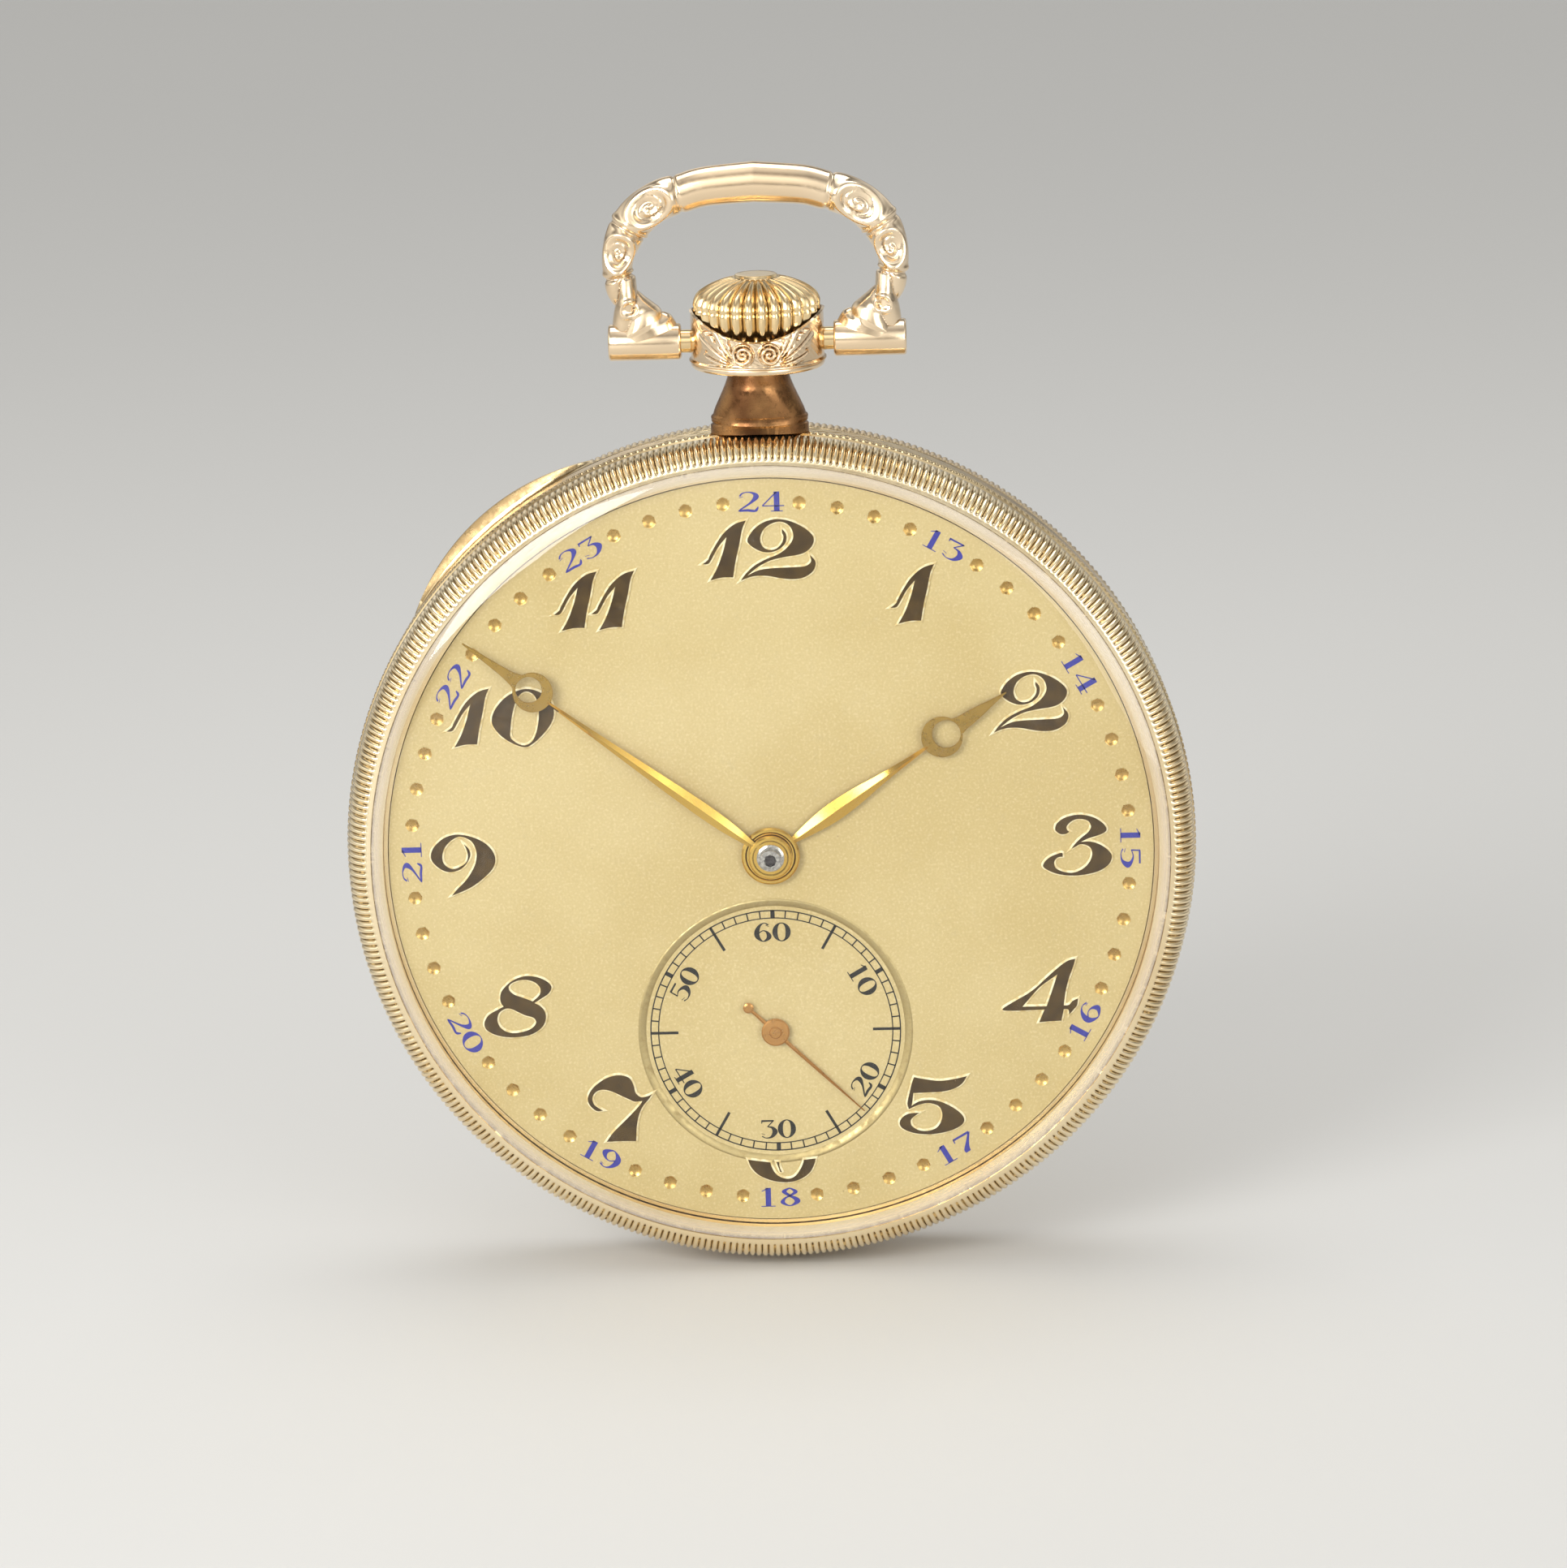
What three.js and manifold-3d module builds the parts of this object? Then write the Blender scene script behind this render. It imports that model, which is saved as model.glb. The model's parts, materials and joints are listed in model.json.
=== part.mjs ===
// Open-face pocket watch with a keyless hand-wound movement.
// Millimetres. +Z runs from the hands' axis to the pendant, -Y points out of the dial,
// and the origin is in the middle of the back cover's flat, on the hands' axis. Heights below are
// drawn from the middle plane of the case band, and the finished watch is moved to its origin.

import * as THREE from 'three';
import { mergeVertices } from 'three/addons/utils/BufferGeometryUtils.js';
import Module from 'manifold-3d';

const wasm = await Module();
wasm.setup();

// ---------------------------------------------------------------- driving dimensions

const CASE_R = 24.0;              // largest radius of bezel and rear rim
const BAND_R = 24.05;             // radius of the case middle
const MOVEMENT_R = 21.4;          // radius of the main plate
const RUNNING_GAP = 0.06;         // radial play of shafts in their holes

// heights along y, from the front of the watch to its back
const CRYSTAL_TOP = -4.7;
const BEZEL_FRONT = -3.0;
const BEZEL_BACK = -1.15;
const BAND_FRONT = -1.0;
const BAND_BACK = 1.6;
const DIAL_FRONT = -2.0;
const DIAL_BACK = -1.6;
const PLATE_FRONT = -0.8;
const PLATE_BACK = -0.2;
const BRIDGE_FRONT = 1.15;
const BRIDGE_BACK = 1.75;
const DUST_FRONT = 2.75;
const DUST_BACK = 3.0;
const BACK_INNER = 3.75;
const BACK_FACE = 4.3;

// case opening
const HINGE_CLOCK_DEG = 140;      // direction of the hinge, clockwise from twelve
const HINGE_R = 23.75;
const HINGE_Y = 1.75;
const KNUCKLE_R = 0.42;
const HINGE_PIN_R = 0.2;
const LIP_CLOCK_DEG = -40;        // thumb lip, opposite the hinge
const LIP_REACH = 24.8;

// pendant, crown and bow
const PIVOT_Z = 29.15;            // axis the bow swings on
const CUP_R = 3.83;
const CUP_BORE_R = 3.63;
const CUP_BOTTOM = 27.7;
const CUP_SADDLE = 29.63;
const CUP_TIP = 31.15;
const NECK_R = 1.9;
const CROWN_R = 3.5;
const CROWN_TOP = 32.87;
const CROWN_FLUTES = 28;
const STEM_R = 0.5;
const BOW_WIRE_R = 1.0;
const BOW_PIN_R = 0.65;
const BOW_TUBE_IN = 4.25;
const BOW_TUBE_OUT = 8.3;

// train: tooth counts and modules
const BARREL_TEETH = 80;
const BARREL_MODULE = 0.19;
const CENTRE_TEETH = 80;
const CENTRE_MODULE = 0.18;
const THIRD_TEETH = 75;
const THIRD_MODULE = 0.12;
const FOURTH_TEETH = 80;
const FOURTH_MODULE = 0.117;
const PINION_LEAVES = 10;
const ESCAPE_LEAVES = 8;
const ESCAPE_TEETH = 15;
const ESCAPE_R = 3.2;
const CANNON_TEETH = 12;
const CANNON_MODULE = 0.125;
const MINUTE_TEETH = 36;
const MINUTE_PINION_LEAVES = 10;
const HOUR_MODULE = 0.12;
const HOUR_TEETH = 40;
const WINDING_TEETH = 14;
const CROWN_WHEEL_TEETH = 36;
const RATCHET_TEETH = 59;
const WINDING_MODULE = 0.2;

// places in plan (x, z)
const CENTRE = [0, 0];
const FOURTH = [0, -10.45];
const THIRD = [3.86, -7.12];
const ESCAPE = [-4.7, -12.55];
const PALLET = [-6.82, -9.16];
const BALANCE = [-9.8, -4.4];
const BARREL = [5.5, 6.55];
const MINUTE = [0, 3];
const INTERMEDIATE = [0, 7.5];
const SETTING = [0, 12];
const CROWN_WHEEL = [0, 14.3];
const CLICK = [11.44, 11.9];
const SETTING_LEVER = [3.6, 19.0];
const YOKE = [-3.8, 15.9];

// clock directions of the hands, degrees clockwise from twelve
const HOUR_HAND_DEG = 55.6;
const MINUTE_HAND_DEG = 307;
const SECONDS_HAND_DEG = 134;

// facets in a full turn
const LARGE = 36;
const MEDIUM = 24;
const SMALL = 12;
const TINY = 8;

// ---------------------------------------------------------------- shape helpers

const rad = THREE.MathUtils.degToRad;

// Closed manifold solid from a three.js geometry, faces turned outwards.
function solid(geometry) {
  geometry.deleteAttribute('normal');
  geometry.deleteAttribute('uv');
  const welded = mergeVertices(geometry, 1e-4);
  const place = welded.attributes.position;
  const source = welded.index.array;
  const faces = [];
  const a = new THREE.Vector3();
  const b = new THREE.Vector3();
  const c = new THREE.Vector3();
  let volume = 0;
  for (let i = 0; i < source.length; i += 3) {
    const [p, q, r] = [source[i], source[i + 1], source[i + 2]];
    if (p === q || q === r || r === p) continue;
    faces.push([p, q, r]);
    a.fromBufferAttribute(place, p);
    b.fromBufferAttribute(place, q);
    c.fromBufferAttribute(place, r);
    volume += a.dot(b.cross(c));
  }
  const outward = faces.map(([p, q, r]) => (volume < 0 ? [p, r, q] : [p, q, r]));
  return new wasm.Manifold(new wasm.Mesh({
    numProp: 3,
    vertProperties: new Float32Array(place.array),
    triVerts: new Uint32Array(outward.flat()),
  }));
}

// Geometry turned about the y axis; the profile is a list of [radius, y].
function lathed(profile, facets) {
  const points = profile.map(([r, y]) => new THREE.Vector2(r, y));
  const endsOnAxis = profile[0][0] === 0 && profile.at(-1)[0] === 0;
  if (!endsOnAxis) points.push(points[0].clone());
  return new THREE.LatheGeometry(points, facets);
}

// Solid turned about the y axis.
function turned(profile, facets = MEDIUM) {
  return solid(lathed(profile, facets));
}

// Solid turned about the z axis; the profile is a list of [radius, z].
function turnedUpright(profile, facets = MEDIUM) {
  return solid(lathed(profile, facets).rotateX(Math.PI / 2));
}

// Flat plate: a shape drawn in plan (x to the right, z up) between two heights in y.
function plate(shape, front, back, facets = SMALL) {
  const geometry = new THREE.ExtrudeGeometry(shape, {
    depth: back - front,
    bevelEnabled: false,
    curveSegments: facets,
  });
  geometry.rotateX(Math.PI / 2);
  geometry.translate(0, back, 0);
  return solid(geometry);
}

function circle(radius, [x, z] = [0, 0]) {
  return new THREE.Shape().absarc(x, z, radius, 0, 2 * Math.PI, false);
}

function polygon(points) {
  return new THREE.Shape(points.map(([x, z]) => new THREE.Vector2(x, z)));
}

// Round disc or pin along y.
function disc(radius, front, back, [x, z] = [0, 0], facets = SMALL) {
  const profile = [[0, front], [radius, front], [radius, back], [0, back]];
  return solid(lathed(profile, facets).translate(x, 0, z));
}

function tubeAlongY(inner, outer, front, back, facets = SMALL) {
  return turned([[inner, front], [outer, front], [outer, back], [inner, back]], facets);
}

// Box between two corners.
function block([x0, y0, z0], [x1, y1, z1]) {
  const geometry = new THREE.BoxGeometry(x1 - x0, y1 - y0, z1 - z0);
  geometry.translate((x0 + x1) / 2, (y0 + y1) / 2, (z0 + z1) / 2);
  return solid(geometry);
}

// Round rod along x on the axis the bow swings on.
function pivotRod(radius, x0, x1) {
  const [from, to] = [Math.min(x0, x1), Math.max(x0, x1)];
  const profile = [[0, from], [radius, from], [radius, to], [0, to]];
  return solid(lathed(profile, SMALL).rotateZ(-Math.PI / 2).translate(0, 0, PIVOT_Z));
}

// Point at a radius and a clock direction.
function atClock(radius, degrees) {
  return [radius * Math.sin(rad(degrees)), radius * Math.cos(rad(degrees))];
}

// Clock direction from one place in plan to another, in degrees.
function clockFrom([x0, z0], [x1, z1]) {
  return THREE.MathUtils.radToDeg(Math.atan2(x1 - x0, z1 - z0));
}

// Sector of a ring between two clock directions.
function ringSector(inner, outer, fromDeg, toDeg, steps) {
  const points = [];
  for (let i = 0; i <= steps; i += 1) {
    points.push(atClock(outer, fromDeg + (toDeg - fromDeg) * i / steps));
  }
  for (let i = steps; i >= 0; i -= 1) {
    points.push(atClock(inner, fromDeg + (toDeg - fromDeg) * i / steps));
  }
  return polygon(points);
}

// Bar with round ends between two places in plan.
function link(from, to, width, front, back, facets = SMALL) {
  const along = new THREE.Vector2(to[0] - from[0], to[1] - from[1]).normalize();
  const side = new THREE.Vector2(-along.y, along.x).multiplyScalar(width / 2);
  const bar = polygon([
    [from[0] + side.x, from[1] + side.y],
    [to[0] + side.x, to[1] + side.y],
    [to[0] - side.x, to[1] - side.y],
    [from[0] - side.x, from[1] - side.y],
  ]);
  return plate(bar, front, back)
    .add(disc(width / 2, front, back, from, facets))
    .add(disc(width / 2, front, back, to, facets));
}

// Outline of a toothed wheel. A tooth, or a gap, points in the clock direction facing.
function toothedOutline(teeth, module, facing, gapFaces, addendum = 0.6) {
  const pitch = 360 / teeth;
  const tip = module * (teeth / 2 + addendum);
  const root = module * (teeth / 2 - 0.95);
  const start = facing + (gapFaces ? pitch / 2 : 0);
  const sharp = teeth > 30;
  const points = [];
  for (let i = 0; i < teeth; i += 1) {
    const middle = start + i * pitch;
    if (sharp) {
      points.push(atClock(tip, middle));
      points.push(atClock(root, middle + 0.5 * pitch));
    } else {
      points.push(atClock(root, middle - 0.3 * pitch));
      points.push(atClock(tip, middle - 0.13 * pitch));
      points.push(atClock(tip, middle + 0.13 * pitch));
      points.push(atClock(root, middle + 0.3 * pitch));
    }
  }
  return polygon(points);
}

// Flat wheel with teeth, a centre hole and, if asked, windows that leave spokes.
function toothedWheel({ teeth, module, facing, gapFaces = false, front, back, bore, spokes = 0 }) {
  let wheel = plate(toothedOutline(teeth, module, facing, gapFaces), front, back);
  if (bore > 0) wheel = wheel.subtract(disc(bore, front - 1, back + 1, CENTRE, TINY));
  const rim = module * teeth / 2 - 4.2 * module;
  const hub = bore + 0.75;
  for (let i = 0; i < spokes; i += 1) {
    const turn = 360 / spokes;
    const window = ringSector(hub, rim, i * turn + 9, (i + 1) * turn - 9, 2);
    wheel = wheel.subtract(plate(window, front - 1, back + 1));
  }
  return wheel;
}

// Stepped shaft along y with leaves cut into one stretch of it.
function leafedArbor({ leaves, module, facing, gapFaces, leafFront, leafBack, steps }) {
  const outline = toothedOutline(leaves, module, facing, gapFaces, 0.45);
  let arbor = plate(outline, leafFront, leafBack);
  for (const [radius, front, back] of steps) {
    arbor = arbor.add(disc(radius, front, back, CENTRE, TINY));
  }
  return arbor;
}

// Flat spiral strip between two radii.
function spiralStrip(innerR, outerR, turns, thickness, front, back, perTurn) {
  const count = Math.round(turns * perTurn);
  const outside = [];
  const inside = [];
  for (let i = 0; i <= count; i += 1) {
    const r = innerR + (outerR - innerR) * i / count;
    const angle = 360 * i / perTurn;
    outside.push(atClock(r + thickness / 2, angle));
    inside.push(atClock(r - thickness / 2, angle));
  }
  return plate(polygon([...outside, ...inside.reverse()]), front, back);
}

// ---------------------------------------------------------------- materials

function metal(colour, roughness) {
  return () => new THREE.MeshStandardMaterial({ color: colour, roughness, metalness: 1 });
}

const gold = metal(0xd9b26a, 0.28);
const copperGold = metal(0x8a5a3c, 0.45);
const brass = metal(0xc9a24a, 0.4);
const nickel = metal(0xc9c9c6, 0.35);
const steel = metal(0x9da0a3, 0.25);
const blueSteel = metal(0x28366e, 0.3);

function dialPaint() {
  return new THREE.MeshStandardMaterial({ color: 0xe8d496, roughness: 0.6, metalness: 0.5 });
}

function glass() {
  return new THREE.MeshStandardMaterial({
    color: 0xf4f6f6,
    roughness: 0.05,
    metalness: 0,
    transparent: true,
    opacity: 0.2,
  });
}

// ---------------------------------------------------------------- the assembly

const watch = new THREE.Group();
watch.position.y = -BACK_FACE;

// Adds one piece: a solid about its own axis, placed in plan.
function add(name, body, makeMaterial, place = CENTRE, turnDeg = 0) {
  const { numProp, vertProperties, triVerts } = body.getMesh();
  const geometry = new THREE.BufferGeometry();
  geometry.setAttribute('position', new THREE.BufferAttribute(new Float32Array(vertProperties), numProp));
  geometry.setIndex(new THREE.BufferAttribute(new Uint32Array(triVerts), 1));
  geometry.computeVertexNormals();
  const mesh = new THREE.Mesh(geometry, makeMaterial());
  mesh.name = name;
  mesh.position.set(place[0], 0, place[1]);
  mesh.rotation.y = rad(turnDeg);
  watch.add(mesh);
}

// ---------------------------------------------------------------- case

// Frame of the hinge: u runs outwards along its clock direction, v along its axis.
const hingeOut = atClock(1, HINGE_CLOCK_DEG);
const hingeAlong = atClock(1, HINGE_CLOCK_DEG + 90);

// Round rod on the hinge axis between two distances along it.
function hingeRod(radius, from, to, facets = SMALL) {
  const profile = [[0, from], [radius, from], [radius, to], [0, to]];
  const geometry = lathed(profile, facets);
  geometry.rotateX(Math.PI / 2);
  geometry.rotateY(rad(HINGE_CLOCK_DEG + 90));
  geometry.translate(hingeOut[0] * HINGE_R, HINGE_Y, hingeOut[1] * HINGE_R);
  return solid(geometry);
}

// Box in the hinge frame: outward range, y range and range along the axis.
function hingeBlock([u0, u1], [y0, y1], [v0, v1]) {
  const corner = (u, v) => [
    hingeOut[0] * u + hingeAlong[0] * v,
    hingeOut[1] * u + hingeAlong[1] * v,
  ];
  return plate(polygon([corner(u0, v0), corner(u1, v0), corner(u1, v1), corner(u0, v1)]), y0, y1);
}

const KNUCKLE = 1.2;              // length of one knuckle
const KNUCKLE_GAP = 0.1;
const HINGE_CUT_R = 0.54;         // clearance around the knuckles
const HINGE_CUT_HALF = 3.7;

// Ranges along the hinge axis: the case holds the ends, the back cover the next pair,
// and the dust cover the middle.
const knuckleSpan = (index) => {
  const middle = index * (KNUCKLE + KNUCKLE_GAP);
  return [middle - KNUCKLE / 2, middle + KNUCKLE / 2];
};
const CASE_KNUCKLES = [-2, 2].map(knuckleSpan);
const BACK_KNUCKLES = [-1, 1].map(knuckleSpan);
const DUST_KNUCKLE = knuckleSpan(0);

function withHingeBore(body) {
  return body.subtract(hingeRod(HINGE_PIN_R + RUNNING_GAP, -4, 4, TINY));
}

function caseMiddle() {
  const [seatR, rimR, grooveR] = [21.7, 22.35, 22.0];
  let body = turned([
    [seatR, -1.95], [rimR, -1.95], [rimR, BAND_FRONT], [BAND_R - 0.2, BAND_FRONT],
    [BAND_R, BAND_FRONT + 0.2], [BAND_R, BAND_BACK - 0.2], [BAND_R - 0.2, BAND_BACK],
    [rimR + 0.05, BAND_BACK], [rimR + 0.05, 2.5], [grooveR, 2.5], [grooveR, BRIDGE_BACK],
    [seatR, BRIDGE_BACK],
  ], LARGE);
  body = body.subtract(hingeRod(HINGE_CUT_R, -HINGE_CUT_HALF, HINGE_CUT_HALF));
  for (const [from, to] of CASE_KNUCKLES) {
    body = body.add(hingeRod(KNUCKLE_R, from, to));
    body = body.add(hingeBlock([HINGE_R - 0.6, HINGE_R + 0.2], [1.0, HINGE_Y], [from, to]));
  }
  body = withHingeBore(body);
  const stemHole = turnedUpright([[0, 20], [0.62, 20], [0.62, 25], [0, 25]], SMALL);
  return body.subtract(stemHole);
}

function bezel() {
  const ledgeR = 21.95;
  const seatR = 22.6;
  const shoulder = (deg) => [
    seatR + (CASE_R - seatR) * Math.sin(rad(deg)),
    BEZEL_FRONT + 1.5 * (1 - Math.cos(rad(deg))),
  ];
  return turned([
    [seatR, BEZEL_FRONT], shoulder(30), shoulder(60), shoulder(90), [CASE_R, BEZEL_BACK],
    [22.5, BEZEL_BACK], [22.5, -2.1], [ledgeR, -2.1], [ledgeR, -2.6], [seatR, -2.6],
  ], LARGE);
}

function crystal() {
  const dome = (edgeR, edgeY, topY, fraction) => {
    const r = edgeR * fraction;
    return [r, edgeY + (topY - edgeY) * (1 - fraction * fraction)];
  };
  const outer = [0, 0.4, 0.75, 1].map((f) => dome(21.95, -3.25, CRYSTAL_TOP, f));
  const inner = [1, 0.6, 0].map((f) => dome(21.5, -2.88, CRYSTAL_TOP + 0.45, f));
  return turned([...outer, [22.55, BEZEL_FRONT], [22.55, -2.66], [21.85, -2.66], ...inner], LARGE);
}

// Crescent on the rim between two radii that taper to nothing at both ends.
function thumbLip() {
  const halfSpan = 16.5;
  const steps = 10;
  const points = [];
  for (let i = 0; i <= steps; i += 1) {
    const share = 2 * i / steps - 1;
    const reach = CASE_R + (LIP_REACH - CASE_R) * (1 - share * share);
    points.push(atClock(reach, LIP_CLOCK_DEG + halfSpan * share));
  }
  for (let i = steps; i >= 0; i -= 1) {
    points.push(atClock(CASE_R - 0.4, LIP_CLOCK_DEG + halfSpan * (2 * i / steps - 1)));
  }
  return plate(polygon(points), 2.5, 2.9);
}

function backCover() {
  let body = turned([
    [0, BACK_INNER], [22.5, BACK_INNER], [23.2, 3.2], [23.2, 1.85], [23.85, 1.85], [CASE_R, 2.2],
    [CASE_R, 3.1], [23.75, 3.6], [23.2, 4.0], [22.3, 4.22], [21.5, BACK_FACE], [0, BACK_FACE],
  ], LARGE);
  body = body.add(thumbLip());
  body = body.subtract(hingeRod(HINGE_CUT_R, -HINGE_CUT_HALF, HINGE_CUT_HALF));
  const slot = [DUST_KNUCKLE[0] - 0.12, DUST_KNUCKLE[1] + 0.12];
  body = body.subtract(hingeBlock([22.9, 25], [1.5, 3.0], slot));
  for (const [from, to] of BACK_KNUCKLES) {
    body = body.add(hingeRod(KNUCKLE_R, from, to));
    body = body.add(hingeBlock([HINGE_R - 0.35, HINGE_R + 0.15], [HINGE_Y, 2.7], [from, to]));
  }
  return withHingeBore(body);
}

function dustCover() {
  const [inner, outer] = [22.6, 22.95];
  let body = turned([
    [0, DUST_FRONT], [inner, DUST_FRONT], [inner, 1.9], [outer, 1.9], [outer, 2.8],
    [outer - 0.2, DUST_BACK], [0, DUST_BACK],
  ], LARGE);
  body = body.add(hingeRod(KNUCKLE_R, ...DUST_KNUCKLE));
  body = body.add(hingeBlock([outer - 0.25, HINGE_R], [1.95, HINGE_Y + KNUCKLE_R], DUST_KNUCKLE));
  return withHingeBore(body);
}

function hingePin() {
  const half = CASE_KNUCKLES[1][1];
  return hingeRod(HINGE_PIN_R, -half, half, TINY);
}

add('case_middle', caseMiddle(), gold);
add('bezel', bezel(), gold);
add('crystal', crystal(), glass);
add('back_cover', backCover(), gold);
add('dust_cover', dustCover(), gold);
add('hinge_pin', hingePin(), steel);

// ---------------------------------------------------------------- pendant, crown and bow

function pendantNeck() {
  const footHalfWidth = 2.72;
  const footHalfDepth = 1.65;
  const flare = 1 / footHalfWidth;
  const profile = [
    [1.0, 23.9], [footHalfWidth, 23.9], [footHalfWidth, 25.0], [2.5, 25.3], [2.1, 26.2],
    [NECK_R, 27.0], [NECK_R, 28.35], [1.0, 28.35],
  ];
  const geometry = lathed(profile, MEDIUM).rotateX(Math.PI / 2);
  // the foot is oval: depth shrinks as the neck widens
  const place = geometry.attributes.position;
  for (let i = 0; i < place.count; i += 1) {
    const r = Math.hypot(place.getX(i), place.getY(i));
    const excess = Math.max(0, (r - NECK_R) / (footHalfWidth - NECK_R));
    const squeeze = 1 - excess * (footHalfWidth - footHalfDepth) * flare;
    place.setY(i, place.getY(i) * squeeze);
  }
  return solid(geometry).subtract(disc(BAND_R + 0.04, -5, 5, CENTRE, LARGE));
}

function pendantCup() {
  let body = turnedUpright([
    [NECK_R + RUNNING_GAP, CUP_BOTTOM], [3.55, CUP_BOTTOM], [CUP_R, 27.95], [CUP_R, CUP_TIP],
    [CUP_BORE_R, CUP_TIP], [CUP_BORE_R, 28.15], [NECK_R + RUNNING_GAP, 28.15],
  ], MEDIUM);
  const above = [[-5, CUP_TIP + 2], [-5, CUP_TIP + 0.6]];
  for (let x = -4.0; x <= 4.0; x += 0.8) {
    above.push([x, CUP_SADDLE + 1.5 * (x / CUP_R) ** 2]);
  }
  above.push([5, CUP_TIP + 0.6], [5, CUP_TIP + 2]);
  body = body.subtract(plate(polygon(above), -5, 5));
  return body.subtract(pivotRod(BOW_PIN_R + 0.02, -5, 5));
}

function crown() {
  const flutes = [];
  for (let i = 0; i < CROWN_FLUTES; i += 1) {
    const pitch = 360 / CROWN_FLUTES;
    flutes.push(atClock(CROWN_R, (i - 0.25) * pitch));
    flutes.push(atClock(CROWN_R, (i + 0.25) * pitch));
    flutes.push(atClock(CROWN_R - 0.22, (i + 0.5) * pitch));
  }
  const band = new THREE.ExtrudeGeometry(polygon(flutes), { depth: 1.4, bevelEnabled: false });
  band.translate(0, 0, 30.3);
  const core = turnedUpright([
    [0, 28.9], [2.9, 28.9], [3.1, 29.6], [3.28, 30.3], [3.28, 31.7], [2.9, 32.2], [2.1, 32.6],
    [1.2, CROWN_TOP], [0, CROWN_TOP],
  ], MEDIUM);
  const bore = turnedUpright([[0, 28], [STEM_R + 0.05, 28], [STEM_R + 0.05, 31.4], [0, 31.4]], SMALL);
  return solid(band).add(core).subtract(bore);
}

function windingStem() {
  const grooveR = 0.34;
  return turnedUpright([
    [0, 13.2], [0.3, 13.2], [0.3, 14.2], [STEM_R, 14.4], [STEM_R, 20.1], [grooveR, 20.1],
    [grooveR, 20.9], [STEM_R, 20.9], [STEM_R, 31.2], [0, 31.2],
  ], SMALL);
}

function bow() {
  const side = [
    [7.2, 0.2], [7.05, 1.2], [7.05, 2.2], [7.4, 3.2], [7.6, 4.4], [7.35, 5.8], [6.7, 6.9],
    [5.7, 7.75], [4.3, 8.35], [2.2, 8.75],
  ];
  const left = side.map(([x, z]) => new THREE.Vector3(-x, 0, z + PIVOT_Z));
  const right = side.map(([x, z]) => new THREE.Vector3(x, 0, z + PIVOT_Z)).reverse();
  const top = new THREE.Vector3(0, 0, PIVOT_Z + 8.95);
  const path = new THREE.CatmullRomCurve3([...left, top, ...right]);
  const arch = new THREE.ExtrudeGeometry(circle(BOW_WIRE_R), {
    steps: 30,
    bevelEnabled: false,
    curveSegments: 4,
    extrudePath: path,
  });
  let body = solid(arch);
  for (const sign of [-1, 1]) {
    body = body.add(pivotRod(BOW_WIRE_R, sign * BOW_TUBE_IN, sign * BOW_TUBE_OUT));
    body = body.subtract(pivotRod(BOW_PIN_R + RUNNING_GAP + 0.02, sign * 3, sign * 5.5));
  }
  return body;
}

function bowPin(sign) {
  return pivotRod(BOW_PIN_R, sign * 3.66, sign * 5.3);
}

add('pendant_neck', pendantNeck(), copperGold);
add('pendant_cup', pendantCup(), gold);
add('bow', bow(), gold);
add('bow_pin_left', bowPin(-1), gold);
add('bow_pin_right', bowPin(1), gold);
add('crown', crown(), gold);
add('winding_stem', windingStem(), steel);

// ---------------------------------------------------------------- dial and hands

const SUBDIAL_R = 7.65;

function dial() {
  const recess = disc(SUBDIAL_R, DIAL_FRONT - 1, DIAL_FRONT + 0.12, FOURTH, MEDIUM);
  return disc(21.65, DIAL_FRONT, DIAL_BACK, CENTRE, LARGE)
    .subtract(recess)
    .subtract(disc(1.15, DIAL_FRONT - 1, DIAL_BACK + 1, CENTRE, SMALL))
    .subtract(disc(0.45, DIAL_FRONT - 1, DIAL_BACK + 1, FOURTH, SMALL));
}

// A leaf-shaped hand pointing to +z with an open ring short of its tip.
function ringedHand({ hubR, boreR, neckR, leafHalf, leafAt, ringAt, ringR, holeR, tip, front, back }) {
  const outline = [
    [-neckR, 0], [-neckR, hubR + 0.8], [-leafHalf, leafAt], [-0.28, ringAt - ringR + 0.15],
    [-0.3, ringAt + ringR - 0.1], [-0.62, ringAt + ringR + 0.7], [-0.1, tip],
    [0.1, tip], [0.62, ringAt + ringR + 0.7], [0.3, ringAt + ringR - 0.1],
    [0.28, ringAt - ringR + 0.15], [leafHalf, leafAt], [neckR, hubR + 0.8], [neckR, 0],
  ];
  return plate(polygon(outline), front, back)
    .add(disc(hubR, front - 0.1, back + 0.08))
    .add(disc(ringR, front, back, [0, ringAt]))
    .subtract(disc(holeR, front - 1, back + 1, [0, ringAt]))
    .subtract(disc(boreR, front - 1, back + 1));
}

function hourHand() {
  return ringedHand({
    hubR: 1.65,
    boreR: 0.95,
    neckR: 0.35,
    leafHalf: 0.8,
    leafAt: 5.2,
    ringAt: 11.9,
    ringR: 1.15,
    holeR: 0.69,
    tip: 16.3,
    front: -2.45,
    back: -2.32,
  });
}

function minuteHand() {
  return ringedHand({
    hubR: 1.19,
    boreR: 0.66,
    neckR: 0.3,
    leafHalf: 0.72,
    leafAt: 7,
    ringAt: 16.4,
    ringR: 1.12,
    holeR: 0.69,
    tip: 21.2,
    front: -2.78,
    back: -2.66,
  });
}

function secondsHand() {
  const outline = [[-0.16, -2.1], [0.16, -2.1], [0.2, 0], [0.06, 6.9], [-0.06, 6.9], [-0.2, 0]];
  return plate(polygon(outline), -2.24, -2.12)
    .add(disc(0.8, -2.26, -2.12))
    .add(disc(0.3, -2.24, -2.12, [0, -2.1], TINY))
    .subtract(disc(0.31, -3, -2, CENTRE, TINY));
}

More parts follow.
